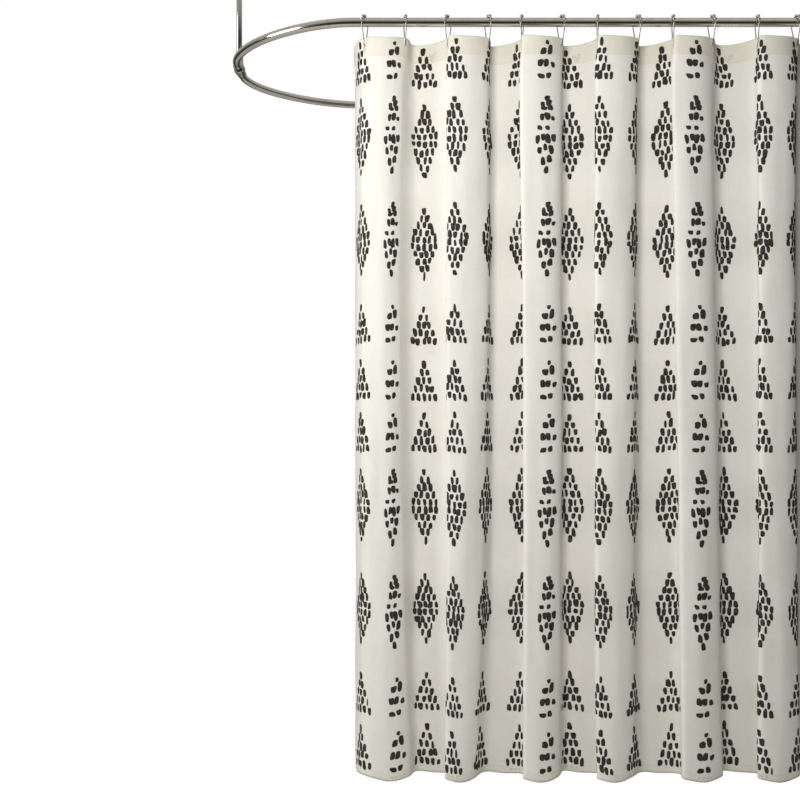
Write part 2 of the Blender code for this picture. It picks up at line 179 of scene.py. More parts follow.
def material(name, colours, relief, **settings):
    """A new material. The function colours gives its colour, height and roughness sockets."""
    made = bpy.data.materials.new(name)
    made.use_nodes = True
    tree = made.node_tree
    shader = tree.nodes["Principled BSDF"]
    for label, value in settings.items():
        shader.inputs[label.replace("_", " ")].default_value = value
    strength, distance = relief
    colour, height, rough = colours(tree)
    bump = node(tree, "ShaderNodeBump", Strength=strength, Distance=distance, Height=height)
    tree.links.new(colour, shader.inputs["Base Color"])
    tree.links.new(bump.outputs["Normal"], shader.inputs["Normal"])
    if rough is not None:
        tree.links.new(rough, shader.inputs["Roughness"])
    return made


def metal(name, bright, dull, smooth, rough, stretch, smudge_scale, relief, coordinates="Object"):
    """A steel: its clean and dulled colours, its gloss range and the direction of its grain."""
    def grain(tree):
        place = node(tree, "ShaderNodeTexCoord").outputs[coordinates]
        made = node(tree, "ShaderNodeGroup", node_tree=METAL_GRAIN, Vector=place, Stretch=stretch,
                    Smudge_Scale=smudge_scale, Smooth=smooth, Rough=rough).outputs
        return between_colours(tree, made["Tint"], bright, dull), made["Height"], made["Roughness"]

    return material(name, grain, (0.5, relief), Metallic=1.0)


fitting_steel = metal("polished_fitting_steel", (0.66, 0.64, 0.60), (0.50, 0.48, 0.44), 0.13, 0.30,
                      (90, 90, 1400), 55.0, 0.00004)


def piece(name, mesh):
    obj = bpy.data.objects.new(name, mesh)
    bpy.context.scene.collection.objects.link(obj)
    return obj


def mesh_of(name, bm):
    """The shape built up in a bmesh, as a mesh."""
    mesh = bpy.data.meshes.new(name)
    bm.to_mesh(mesh)
    bm.free()
    return mesh


def turns_of(count):
    """Angles at equal steps of one full turn."""
    return np.arange(count) * 2 * math.pi / count


def circle(centre, radius, first, second, count):
    """Points round a centre, in the plane of two directions."""
    return [centre + radius * (math.cos(a) * first + math.sin(a) * second) for a in turns_of(count)]


def skin(name, rings, closed=False):
    """A surface through rings of points. Its UV runs in metres along the rings and round them."""
    rings = np.asarray(rings, float)
    count, sides = rings.shape[:2]
    along = np.concatenate([[0], np.cumsum(np.linalg.norm(np.diff(rings.mean(1), axis=0), axis=1)
                                           + abs(np.diff(rings.std(1).sum(1))))])
    bm = bmesh.new()
    layer = bm.loops.layers.uv.new("UVMap")
    verts = [[bm.verts.new(point) for point in ring] for ring in rings]
    step_round = np.linalg.norm(rings[:, 0] - rings[:, 1], axis=1).max()
    for i in range(count if closed else count - 1):
        for j in range(sides):
            after = (j + 1) % sides
            up = (i + 1) % count
            face = bm.faces.new((verts[i][j], verts[i][after], verts[up][after], verts[up][j]))
            top = along[i + 1] if i + 1 < count else along[-1] + along[1]
            corners = ((along[i], j), (along[i], j + 1), (top, j + 1), (top, j))
            for loop, (run, turn) in zip(face.loops, corners):
                loop[layer].uv = (run, turn * step_round)
    if not closed:
        bm.faces.new(verts[0])
        bm.faces.new(verts[-1])
    bmesh.ops.remove_doubles(bm, verts=bm.verts, dist=0.000002)
    bmesh.ops.recalc_face_normals(bm, faces=bm.faces)
    return piece(name, mesh_of(name, bm))


def rounded(profile, radius=ROUNDING, steps=4):
    """The profile with each inner corner turned into a small curve."""
    points = [Vector(point) for point in profile]
    smooth = [points[0]]
    for before, corner, after in zip(points, points[1:], points[2:]):
        start = corner + (before - corner).normalized() * min(radius, 0.45 * (before - corner).length)
        end = corner + (after - corner).normalized() * min(radius, 0.45 * (after - corner).length)
        for index in range(steps + 1):
            share = index / steps
            smooth.append((1 - share) ** 2 * start + 2 * share * (1 - share) * corner + share ** 2 * end)
    return smooth + [points[-1]]


AXES = {"X": Matrix.Rotation(math.pi / 2, 3, "Y"), "Y": Matrix.Rotation(-math.pi / 2, 3, "X"),
        "Z": Matrix.Identity(3)}


def turned(name, profile, centre, axis="Z", sides=64, closed=False):
    """A profile of (radius, height) points spun about an axis through the centre."""
    rings = []
    for radius, height in profile:
        ring = [Vector((radius * math.cos(a), radius * math.sin(a), height)) for a in turns_of(sides)]
        rings.append([AXES[axis] @ point + Vector(centre) for point in ring])
    return skin(name, rings, closed=closed)


def cylinder(radius, start, stop, centre, axis="Z", sides=24):
    """A solid round bar, to cut a hole with."""
    return turned("cylinder", ((0, start), (radius, start), (radius, stop), (0, stop)), centre, axis, sides)


def plain(obj):
    """The object with its modifiers applied, as a plain mesh piece of the same name."""
    bpy.context.view_layer.update()
    mesh = bpy.data.meshes.new_from_object(obj.evaluated_get(bpy.context.evaluated_depsgraph_get()))
    name = obj.name
    bpy.data.objects.remove(obj)
    return piece(name, mesh)


def cut(obj, tools, operation="DIFFERENCE"):
    """Take the tools out of the piece, or join them to it."""
    for tool in tools:
        step = obj.modifiers.new(operation, "BOOLEAN")
        step.operation = operation
        step.object = tool
    made = plain(obj)
    for tool in tools:
        bpy.data.objects.remove(tool)
    return made


def fit(obj, finish, body, slot, *nodes, sharp=True):
    """Give a finished piece its material and the body it moves with, and hide the CAD parts that it stands
    for. slot is not used.
    """
    obj.data.materials.clear()
    obj.data.materials.append(finish)
    obj.data.shade_smooth()
    if sharp:
        obj.data.set_sharp_from_angle(angle=SHARP_ANGLE)
    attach(obj, body)
    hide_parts(*nodes)
    return obj


def grub_hole(grub_name, axis_x, wall):
    """The hole that a grub screw sits in, through a wall at this distance from the axis."""
    first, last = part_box(grub_name)
    middle = (first + last) / 2
    side = math.copysign(wall, middle.x - axis_x)
    return cylinder(GRUB_HOLE_R, -GRUB_HOLE_REACH, GRUB_HOLE_REACH, (axis_x + side, 0, middle.z), "X")


ends = ("left", "right")
end_x = {}
for end in ends:
    low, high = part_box("ceiling_flange_" + end)
    end_x[end] = (low.x + high.x) / 2
    rim = (high.x - low.x) / 2
    foot = low.z - high.z
    profile = rounded(((0, 0), (rim, 0), (rim, -PLATE_THICKNESS), (HUB_R + HUB_FLARE, -PLATE_THICKNESS),
                       (HUB_R, foot), (DROP_BORE_R, foot), (DROP_BORE_R, -HUB_FLOOR), (0, -HUB_FLOOR)))
    flange = turned("flange_" + end, profile, (end_x[end], 0, high.z), sides=96)
    holes = []
    for number in (1, 2, 3):
        first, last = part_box("ceiling_screw_%s_%d" % (end, number))
        middle = ((first.x + last.x) / 2, (first.y + last.y) / 2, 0)
        holes.append(cylinder(SCREW_HOLE_R, -SCREW_HOLE_REACH, SCREW_HOLE_REACH, middle))
    holes.append(grub_hole("flange_grub_screw_" + end, end_x[end], HUB_R))
    fit(cut(flange, holes), fitting_steel, "rod", "fitting_steel", "ceiling_flange_" + end)


# ---- Ceiling screws and grub screws ---------------------------------------------------------
# Three pan-head steel screws with a cross recess hold each flange to the ceiling. Short grub
# screws with a hex socket lock the drop tube in the flange's hub and in the tee below it.

THREAD_PITCH = 0.0016
THREAD_DEPTH = 0.00045
SHANK_R = 0.0021
HEAD_R = 0.0042
HEAD_HEIGHT = 0.0026
SCREW_POINT = 0.0050
THREAD_STEPS = 6            # rings of points to each turn of the thread
POINT_SHARPNESS = 0.06      # share of the core's width that the tip starts with
RECESS_MOUTH_R = 0.0030
RECESS_FLOOR_R = 0.0016
RECESS_DEPTH = 0.0024
BLADE_THICKNESS = 0.3       # share of its width
GRUB_R = 0.0025
HEX_R = 0.0014
HEX_DEPTH = 0.0022

screw_steel = metal("zinc_screw_steel", (0.60, 0.60, 0.59), (0.42, 0.41, 0.39), 0.24, 0.45,
                    (600, 600, 3000), 160.0, 0.00005)


def screw_rings(tip, head_top, x, y):
    """The threaded shank from its tip down to the head, then the domed head."""
    rings = []
    length = tip - head_top
    steps = int(length / THREAD_PITCH * THREAD_STEPS)
    turns = turns_of(20)
    for index in range(steps + 1):
        down = length * index / steps
        core = (SHANK_R - THREAD_DEPTH) * min(1.0, POINT_SHARPNESS + down / SCREW_POINT)
        ridge = abs(((down / THREAD_PITCH - turns / (2 * math.pi)) % 1) - 0.5) * 2
        radius = core + THREAD_DEPTH * ridge ** 2 * min(1.0, down / SCREW_POINT)
        rings.append([(x + r * math.cos(a), y + r * math.sin(a), tip - down)
                      for r, a in zip(radius, turns)])
    dome = rounded(((SHANK_R, 0), (HEAD_R, 0), (HEAD_R, -0.45 * HEAD_HEIGHT),
                    (0.6 * HEAD_R, -HEAD_HEIGHT), (0.02 * HEAD_R, -HEAD_HEIGHT)), 0.0008)
    for radius, height in dome[1:]:
        rings.append([(x + radius * math.cos(a), y + radius * math.sin(a), head_top + height)
                      for a in turns])
    return rings


def cross_recess(x, y, z):
    """Two crossed blades that taper towards the bottom of the recess."""
    tools = []
    for turn in (0, math.pi / 2):
        bm = bmesh.new()
        bmesh.ops.create_cone(bm, cap_ends=True, segments=4, radius1=RECESS_MOUTH_R,
                              radius2=RECESS_FLOOR_R, depth=RECESS_DEPTH)
        shape = Matrix.Translation((x, y, z)) @ Matrix.Rotation(turn, 4, "Z")
        shape = shape @ Matrix.Diagonal((1, BLADE_THICKNESS, 1, 1)) @ Matrix.Rotation(math.pi / 4, 4, "Z")
        bm.transform(shape)
        bmesh.ops.recalc_face_normals(bm, faces=bm.faces)
        tools.append(piece("blade", mesh_of("blade", bm)))
    return tools


for end in ends:
    for number in (1, 2, 3):
        name = "ceiling_screw_%s_%d" % (end, number)
        low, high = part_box(name)
        middle = (low + high) / 2
        screw = skin("pan_head_screw_%s_%d" % (end, number),
                     screw_rings(high.z, low.z + HEAD_HEIGHT, middle.x, middle.y))
        screw = cut(screw, cross_recess(middle.x, middle.y, low.z))
        fit(screw, screw_steel, "rod", "screw_steel", name)
    for holder in ("flange", "tee"):
        name = "%s_grub_screw_%s" % (holder, end)
        low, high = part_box(name)
        half = (high.x - low.x) / 2
        profile = rounded(((0, half), (GRUB_R, half), (GRUB_R, -half), (0, -half)), 0.0005, 3)
        grub = turned("%s_grub_%s" % (holder, end), profile, (low + high) / 2, "X", 32)
        outer_x = low.x if end == "left" else high.x
        hexagon = cylinder(HEX_R, -HEX_DEPTH, HEX_DEPTH, (outer_x, 0, (low.z + high.z) / 2), "X", 6)
        fit(cut(grub, [hexagon]), screw_steel, "rod", "screw_steel", name)


# ---- Drop tubes -----------------------------------------------------------------------------
# Straight steel tubes, one at each end, run from the flange's hub down into the tee. They are
# the same drawn and brushed steel as the hoop.

TUBE_LIP = 0.0004           # length of the small bevel at each tube's ends

rod_steel = metal("brushed_rod_steel", (0.74, 0.71, 0.65), (0.62, 0.59, 0.53), 0.10, 0.21,
                  (5, 2600, 1), 22.0, 0.000006, "UV")


def across(direction):
    """Two directions square to a direction, the first of them level where it can be."""
    level = direction.cross(Vector((0, 0, 1)))
    if level.length < 0.001:
        level = Vector((1, 0, 0))
    level.normalize()
    return level, level.cross(direction).normalized()


def tube(name, path, outer, wall, sides=40):
    """A hollow round tube along a path, with its two end faces."""
    headings = [(after - before).normalized() for before, after in
                zip([path[0]] + path[:-1], path[1:] + [path[-1]])]
    rings = []
    lip = wall / 4
    order = list(range(len(path)))
    for radius, run in ((outer, order), (outer - wall, order[::-1])):
        for index in run:
            level, up = across(headings[index])
            inset = lip if index in (0, len(path) - 1) else 0
            edge = inset if radius == outer else -inset
            rings.append(circle(path[index], radius - edge, level, up, sides))
    return skin(name, rings, closed=True)


for end in ends:
    low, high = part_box("drop_tube_" + end)
    heights = [low.z, low.z + TUBE_LIP, high.z - TUBE_LIP, high.z]
    path = [Vector((end_x[end], 0, z)) for z in heights]
    fit(tube("ceiling_tube_" + end, path, DROP_TUBE_OD / 2, DROP_TUBE_WALL), rod_steel, "rod",
        "rod_steel", "drop_tube_" + end)


# ---- Tees -----------------------------------------------------------------------------------
# Each tee is one cast and polished fitting: a collar that the rod passes through, and a socket
# on top of it that the drop tube stands in.

ROD_OD = 0.0222
ROD_WALL = 0.0012
ROD_BORE_R = ROD_OD / 2 + TOUCH
COLLAR_R = ROD_BORE_R + 0.0046
SOCKET_R = DROP_BORE_R + 0.0032
COLLAR_BEVEL = (0.0008, 0.0040)     # across and along, at the collar's two ends
COLLAR_ROUNDING = 0.0014
SOCKET_LIP = 0.0030
LIP_STEP = 0.0006                   # how far the socket's wall steps in below its lip
SOCKET_DEPTH = 0.0230
SOCKET_FOOT_R = SOCKET_R + 0.0012   # where it spreads into the collar
SOCKET_ROOT = (0.0132, 0.0060)      # heights over the rod's axis that it spreads between
SOCKET_ROUNDING = 0.0007
BORE_REACH = 0.03                   # half the length of the tool that cuts the rod's bore

rod_low, rod_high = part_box("rod_front_half")
ROD_Z = (rod_low.z + rod_high.z) / 2

for end in ends:
    low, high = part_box("ceiling_tee_" + end)
    x = end_x[end]
    half = (high.y - low.y) / 2
    socket_floor = high.z - SOCKET_DEPTH
    bevel, bevel_length = COLLAR_BEVEL
    profile = ((0, half), (COLLAR_R - bevel, half), (COLLAR_R, half - bevel_length),
               (COLLAR_R, bevel_length - half), (COLLAR_R - bevel, -half), (0, -half))
    collar = turned("tee_" + end, rounded(profile, COLLAR_ROUNDING), (x, 0, ROD_Z), "Y", 72)
    spread_top, spread_foot = (ROD_Z + height for height in SOCKET_ROOT)
    profile = ((0, high.z), (SOCKET_R, high.z), (SOCKET_R, high.z - SOCKET_LIP),
               (SOCKET_R - LIP_STEP, high.z - SOCKET_LIP - LIP_STEP), (SOCKET_R - 0.0002, socket_floor),
               (SOCKET_FOOT_R, spread_top), (SOCKET_FOOT_R, spread_foot), (0, spread_foot))
    socket = turned("socket", rounded(profile, SOCKET_ROUNDING), (x, 0, 0), sides=72)
    tee = cut(collar, [socket], "UNION")
    bores = [cylinder(ROD_BORE_R, -BORE_REACH, BORE_REACH, (x, 0, ROD_Z), "Y", 72),
             cylinder(DROP_BORE_R, socket_floor, high.z + 0.01, (x, 0, 0), sides=56),
             grub_hole("tee_grub_screw_" + end, x, SOCKET_R)]
    fit(cut(tee, bores), fitting_steel, "rod", "fitting_steel", "ceiling_tee_" + end)


# ---- Hoop rod and its sleeves ---------------------------------------------------------------
# The hoop is two bent steel tubes, a front and a back half, brushed along their length. They meet
# end to end behind each tee, inside a thin sleeve.

HOOP_LENGTH = end_x["right"] - end_x["left"]
HOOP_DEPTH = 0.680
BEND_REACH = 0.345
BEND_HANDLE_END = 0.145
BEND_HANDLE_RUN = 0.150
END_STUB = 0.028
BEND_STEPS = 40


def bend(start, end):
    """Points of the rounded corner from the hoop's end stub to the straight run."""
    side = math.copysign(1, end.y)
    inward = math.copysign(1, end.x - start.x)
    return [Vector(point) for point in interpolate_bezier(
        start, start + Vector((0, side * BEND_HANDLE_END, 0)),
        end - Vector((inward * BEND_HANDLE_RUN, 0, 0)), end, BEND_STEPS)]


for half_name, side in (("front", -1), ("back", 1)):
    node_name = "rod_%s_half" % half_name
    low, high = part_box(node_name)
    meet_y = high.y if side < 0 else low.y
    stub_y = side * END_STUB + (meet_y if side > 0 else 0)
    run_y = side * HOOP_DEPTH / 2
    left = bend(Vector((0, stub_y, ROD_Z)), Vector((BEND_REACH, run_y, ROD_Z)))
    right = bend(Vector((HOOP_LENGTH, stub_y, ROD_Z)), Vector((HOOP_LENGTH - BEND_REACH, run_y, ROD_Z)))
    middle = [left[-1].lerp(right[-1], share) for share in (0.25, 0.5, 0.75)]
    stubs = [[Vector((x, meet_y + side * offset, ROD_Z)) for offset in (0, TUBE_LIP)]
             for x in (0, HOOP_LENGTH)]
    path = stubs[0] + left + middle + right[::-1] + stubs[1][::-1]
    hoop = tube("hoop_%s_half" % half_name, path, ROD_OD / 2, ROD_WALL, 48)
    fit(hoop, rod_steel, "rod", "rod_steel", node_name)

for end in ends:
    low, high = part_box("rod_sleeve_" + end)
    half = (high.y - low.y) / 2
    outer = (high.z - low.z) / 2
    profile = rounded(((ROD_BORE_R, half), (outer, half), (outer, -half), (ROD_BORE_R, -half)), 0.0006)
    profile = profile + [Vector((ROD_BORE_R, -half / 2)), Vector((ROD_BORE_R, half / 2))]
    sleeve = turned("joint_sleeve_" + end, profile, (end_x[end], (low.y + high.y) / 2, ROD_Z), "Y", 64,
                    closed=True)
    fit(sleeve, fitting_steel, "rod", "fitting_steel", "rod_sleeve_" + end)


# ---- Roller rings ---------------------------------------------------------------------------
# Twelve rings of sprung steel wire, bent to a pear shape. Five loose steel balls are threaded on
# each crown and roll along the rod; the narrow foot passes through a buttonhole in the cloth.

RING_COUNT = 12
RING_TWISTS_DEG = (20, -8, 25, -18, 15, -20, 8, -17, 8, -10, 6, -10)
RING_WIRE_R = 0.0014
RING_HEIGHT = 0.0755
RING_CROWN_R = 0.0200
RING_FOOT_R = 0.0046
BALL_R = 0.0041
BALL_COUNT = 5
BALL_STEP = math.radians(36)
WIRE_SIDES = 14

ring_steel = metal("bright_ring_steel", (0.74, 0.72, 0.69), (0.52, 0.50, 0.47), 0.10, 0.22,
                   (800, 800, 60), 90.0, 0.00002)

RING_NAMES = ["ring_%02d" % number for number in range(1, RING_COUNT + 1)]
ring_boxes = [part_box(name) for name in RING_NAMES]
RING_X = [(low.x + high.x) / 2 for low, high in ring_boxes]
FRONT_Y = -HOOP_DEPTH / 2
CROWN_Z = ROD_Z + ROD_OD / 2 + TOUCH + BALL_R
FOOT_Z = CROWN_Z - RING_HEIGHT


def ring_line():
    """The wire's centre line in its own plane, as (y, z): crown arc, straight legs, foot arc."""
    crown_z = CROWN_Z - RING_CROWN_R
    foot_z = FOOT_Z + RING_FOOT_R
    lean = math.asin((RING_CROWN_R - RING_FOOT_R) / (crown_z - foot_z))
    line = []
    for z, radius, steps, start, sweep in (
            (crown_z, RING_CROWN_R, 40, -math.pi / 2 - lean, math.pi + 2 * lean),
            (foot_z, RING_FOOT_R, 14, math.pi / 2 + lean, math.pi - 2 * lean)):
        for turn in np.linspace(start, start + sweep, steps + 1):
            line.append((radius * math.sin(turn), z + radius * math.cos(turn)))
    return line


def grower(name, *inputs):
    """An empty geometry node tree: geometry, some inputs of its own and a material come in."""
    sockets = (("Geometry", "Geometry", None), *inputs, ("Material", "Material", None))
    return effect(name, sockets, (("Geometry", "Geometry"),), "GeometryNodeTree")


def scatter(tree, given, out, points, shape, **more):
    """End a tree with a copy of the shape on every point, made real, in the given material."""
    row = node(tree, "GeometryNodeInstanceOnPoints", Points=points, Instance=shape, **more)
    real = node(tree, "GeometryNodeRealizeInstances", Geometry=row.outputs[0])
    done = node(tree, "GeometryNodeSetMaterial", Geometry=real.outputs[0], Material=given["Material"])
    tree.links.new(done.outputs[0], out[0])


def grown(obj, tree, values):
    """Run a geometry node tree on a piece and keep its result as a plain mesh."""
    step = obj.modifiers.new("grow", "NODES")
    step.node_group = tree
    for socket in tree.interface.items_tree:
        if socket.in_out == "INPUT" and socket.name in values:
            step[socket.identifier] = values[socket.name]
    return plain(obj)


def points_piece(name, points, edges=(), faces=()):
    mesh = bpy.data.meshes.new(name)
    mesh.from_pydata([tuple(point) for point in points], edges, faces)
    return piece(name, mesh)


ball_tree, given, out = grower("threaded_balls", ("Ball Radius", "Float", None))
ball = node(ball_tree, "GeometryNodeMeshUVSphere", Segments=24, Rings=16, Radius=given["Ball Radius"])
scatter(ball_tree, given, out, given["Geometry"], ball.outputs["Mesh"])

for name, x, twist in zip(RING_NAMES, RING_X, RING_TWISTS_DEG):
    turn = Matrix.Translation((x, FRONT_Y, 0)) @ Matrix.Rotation(-math.radians(twist), 4, "Z")
    line = [Vector((0, y, z)) for y, z in ring_line()]
    rings = []
    for index, point in enumerate(line):
        heading = (line[(index + 1) % len(line)] - line[index - 1]).normalized()
        side = Vector((1, 0, 0))
        rings.append([turn @ place for place in
                      circle(point, RING_WIRE_R, side, side.cross(heading), WIRE_SIDES)])
    wire = skin(name + "_wire", rings, closed=True)
    fit(wire, ring_steel, name, "ring_steel", name)
    crown = Vector((0, 0, CROWN_Z - RING_CROWN_R))
    seats = [turn @ (crown + RING_CROWN_R * Vector((0, math.sin(a), math.cos(a))))
             for a in (np.arange(BALL_COUNT) - (BALL_COUNT - 1) / 2) * BALL_STEP]
    balls = grown(points_piece(name + "_balls", seats), ball_tree,
                  {"Ball Radius": BALL_R, "Material": ring_steel})
    fit(balls, ring_steel, name, "ring_steel")


# ---- The cloth as it hangs ------------------------------------------------------------------
# One panel of plain-woven ivory cotton, 1.83 m square. It is cut and printed flat, then hung from
# twelve buttonholes, so it stands in deep pleats that bulge to the front and the back by turns.

CLOTH_WIDTH = 1.8288
CLOTH_THICKNESS = 0.0008
HOLE_PITCH = CLOTH_WIDTH / RING_COUNT
HEADER_DEPTH = 0.0480
BOTTOM_HEM_DEPTH = 0.0200
SIDE_HEM_WIDTH = 0.0120
TOP_RISE = 0.0030           # the top edge stands this much higher than the plain CAD edge
TOP_SAG = 0.0030            # how far the top edge dips between two rings
HEM_SAG = 0.0080            # how much lower the bottom hem hangs there
STRETCH = 0.0105            # share by which the cloth's weight draws it longer
SLIT_TOP = 0.0192           # top edge down to the buttonhole
SLIT_LENGTH = 0.0150
SLIT_WIDTH = 0.0034

# the turns at the ring lines: angle, half width and how far past its ring each one sits, the last
# two in ring pitches of cloth; the outermost two let the free side edges hang
BACK_TURN = (math.radians(63), 0.18, 0.15)
FRONT_TURN = (math.radians(-95), 0.09, 0.02)
FIRST_TURN = (math.radians(-70), 0.27, -0.25)
LAST_TURN = (math.radians(70), 0.20, 0.14)
TURN_SQUARENESS = 4.0
FRONT_ROUNDING = math.radians(46)   # how far each face curves over before the next turn
BACK_ROUNDING = math.radians(-58)
ROUNDING_POWER = 1.6                # how late on the face the curve comes
EDGE_CURL = math.radians(30)        # the free side edges curl to the back
EDGE_CURL_REACH = 0.022
RING_HOLD = 0.55                    # how much the ring keeps the header square to it
RING_HOLD_REACH = 0.013
RING_HOLD_DEPTH = 0.060
# how far each pleat line has wandered sideways, halfway down and at the hem
WANDER_MIDDLE = (0.0, -0.009, 0.0, -0.003, 0.010, 0.0, 0.0, -0.006, 0.012, 0.010, 0.004, 0.0)
WANDER_HEM = (0.0, 0.014, 0.003, -0.026, 0.004, -0.003, 0.003, -0.006, 0.022, 0.026, 0.006, 0.008)
TURN_STRENGTHS = (0.15, 2.0)        # how far the turns of a span may be eased or forced to fit it
FITTING_ROUNDS = 40
FITTING_STEP = 0.9                  # share of a span's excess width that each round takes away

TOP_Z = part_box("header_band")[1].z + TOP_RISE
BOTTOM_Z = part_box("bottom_hem")[0].z
CLOTH_DROP = 1.8288
HEM_TOP = CLOTH_DROP - BOTTOM_HEM_DEPTH
SPAN_STEPS = 16             # columns from a buttonhole to halfway to the next


def across_steps():
    """Places of the cloth's columns, measured from its left edge, close beside each buttonhole."""
    steps = [0.0, SIDE_HEM_WIDTH / 3, SIDE_HEM_WIDTH * 2 / 3]
    for ring in range(RING_COUNT):
        hole = (ring + 0.5) * HOLE_PITCH
        start = SIDE_HEM_WIDTH if ring == 0 else hole - HOLE_PITCH / 2
        stop = CLOTH_WIDTH - SIDE_HEM_WIDTH if ring == RING_COUNT - 1 else hole + HOLE_PITCH / 2
        steps.extend(np.linspace(start, hole - SLIT_WIDTH / 2, SPAN_STEPS, endpoint=False))
        steps.extend((hole - SLIT_WIDTH / 2, hole, hole + SLIT_WIDTH / 2))
        steps.extend(np.linspace(hole + SLIT_WIDTH / 2, stop, SPAN_STEPS, endpoint=False)[1:])
    steps.extend(CLOTH_WIDTH - SIDE_HEM_WIDTH * np.array((1, 2 / 3, 1 / 3, 0)))
    return np.array(steps)


def down_steps():
    """Heights of the cloth's rows, measured down from its top edge."""
    slit_end = SLIT_TOP + SLIT_LENGTH
    return np.concatenate((np.linspace(0, SLIT_TOP, 5), np.linspace(SLIT_TOP, slit_end, 5)[1:],
                           np.linspace(slit_end, HEADER_DEPTH, 5)[1:],
                           np.linspace(HEADER_DEPTH, 0.200, 15)[1:],
                           np.linspace(0.200, HEM_TOP, 86)[1:],
                           np.linspace(HEM_TOP, CLOTH_DROP, 4)[1:]))


COLUMNS = across_steps()
ROWS = down_steps()


def softened(values, times=2):
    """The values evened out a little between neighbours, so that no crease is sharp."""
    for _ in range(times):
        padded = np.pad(values, 1, mode="edge")
        values = 0.25 * padded[:-2] + 0.5 * padded[1:-1] + 0.25 * padded[2:]
    return values


def pleat_row(depth):
    """(x, y) at each column for the row at one depth, from the turns that the cloth makes."""
    share = depth / CLOTH_DROP
    bow = 4 * share * (1 - share)
    line_x = np.array([x + at_hem * share ** 1.5 + (middle - at_hem * 0.35) * bow for x, middle, at_hem
                       in zip(RING_X, WANDER_MIDDLE, WANDER_HEM)])
    middles = (COLUMNS[1:] + COLUMNS[:-1]) / 2
    lengths = np.diff(COLUMNS)
    lines = (np.arange(RING_COUNT) + 0.5) * HOLE_PITCH
    turn = np.zeros(len(middles))
    free_turn = np.zeros(len(middles))
    folding = np.zeros(len(middles))
    hold = np.ones(len(middles))
    for number, line in enumerate(lines):
        kind = {0: FIRST_TURN, RING_COUNT - 1: LAST_TURN}.get(number, (FRONT_TURN, BACK_TURN)[number % 2])
        size, reach, shift = kind
        weight = np.exp(-np.abs(((middles - line) / HOLE_PITCH - shift) / reach) ** TURN_SQUARENESS)
        if kind in (FIRST_TURN, LAST_TURN):
            free_turn += size * weight
        else:
            turn += size * weight
        folding = np.maximum(folding, weight)
        keep = RING_HOLD * math.exp(-(depth / RING_HOLD_DEPTH) ** 2)
        hold -= keep * np.exp(-((middles - line) / RING_HOLD_REACH) ** 2)
    free_turn -= EDGE_CURL * np.exp(-(middles / EDGE_CURL_REACH) ** 3)
    free_turn += EDGE_CURL * np.exp(-((CLOTH_WIDTH - middles) / EDGE_CURL_REACH) ** 3)
    across_face = (middles / HOLE_PITCH - 0.5) % 1
    rounding = np.where((middles / HOLE_PITCH - 0.5) // 1 % 2 == 0, FRONT_ROUNDING, BACK_ROUNDING)
    inner = (middles > lines[0]) & (middles < lines[-1])
    rounding = rounding * across_face ** ROUNDING_POWER * (1 - folding) * inner
    centres = lines[:-1] + HOLE_PITCH / 2
    span = np.clip(((middles - lines[0]) // HOLE_PITCH).astype(int), -1, RING_COUNT - 1)
    strength = np.ones(RING_COUNT - 1)
    for _ in range(FITTING_ROUNDS):
        scale = np.interp(middles, centres, strength)
        angle = softened(turn * scale + rounding + free_turn) * hold
        gained = np.array([(np.cos(angle) * lengths)[span == k].sum() for k in range(RING_COUNT - 1)])
        excess = (gained - np.diff(line_x)) / HOLE_PITCH
        strength = np.clip(strength + FITTING_STEP * excess, *TURN_STRENGTHS)
    x = np.concatenate(([0], np.cumsum(np.cos(angle) * lengths)))
    y = np.concatenate(([0], np.cumsum(np.sin(angle) * lengths)))
    x += np.interp(COLUMNS, lines, line_x - np.interp(lines, COLUMNS, x))
    y -= np.interp(COLUMNS, lines, np.interp(lines, COLUMNS, y))
    return x, FRONT_Y + y


def hung_cloth():
    """The hanging surface: a point for every row and column, before it is made uneven."""
    dip = np.sin(math.pi * ((COLUMNS / HOLE_PITCH - 0.5) % 1)) ** 2
    grid = np.zeros((len(ROWS), len(COLUMNS), 3))
    for row, depth in enumerate(ROWS):
        grid[row, :, 0], grid[row, :, 1] = pleat_row(depth)
        share = depth / CLOTH_DROP
        drawn = STRETCH * max(0.0, depth - HEADER_DEPTH)
        grid[row, :, 2] = TOP_Z - depth - drawn - dip * (TOP_SAG * (1 - share) + HEM_SAG * share)
    return grid


def grid_normals(grid):
    """Directions out of the cloth's front face."""
    down = np.gradient(grid, axis=0)
    right = np.gradient(grid, axis=1)
    normal = np.cross(down, right)
    normal /= np.maximum(np.linalg.norm(normal, axis=2, keepdims=True), 1e-12)
    return -normal if normal[:, :, 1].mean() > 0 else normal


HUNG = hung_cloth()
FACING = grid_normals(HUNG)


def ripple(grid, facing, size, width, height, seed):
    """Soft unevenness out of the surface, less of it in the stiff header."""
    for row, depth in enumerate(ROWS):
        ease = size * min(1.0, 0.15 + depth / 0.25)
        for column, place in enumerate(COLUMNS):
            push = noise.noise(Vector((place / width, depth / height, seed)))
            grid[row, column] += facing[row, column] * push * ease


ripple(HUNG, FACING, size=0.0032, width=0.060, height=0.38, seed=3.0)
ripple(HUNG, FACING, size=0.0010, width=0.030, height=0.10, seed=8.0)
FACING = grid_normals(HUNG)


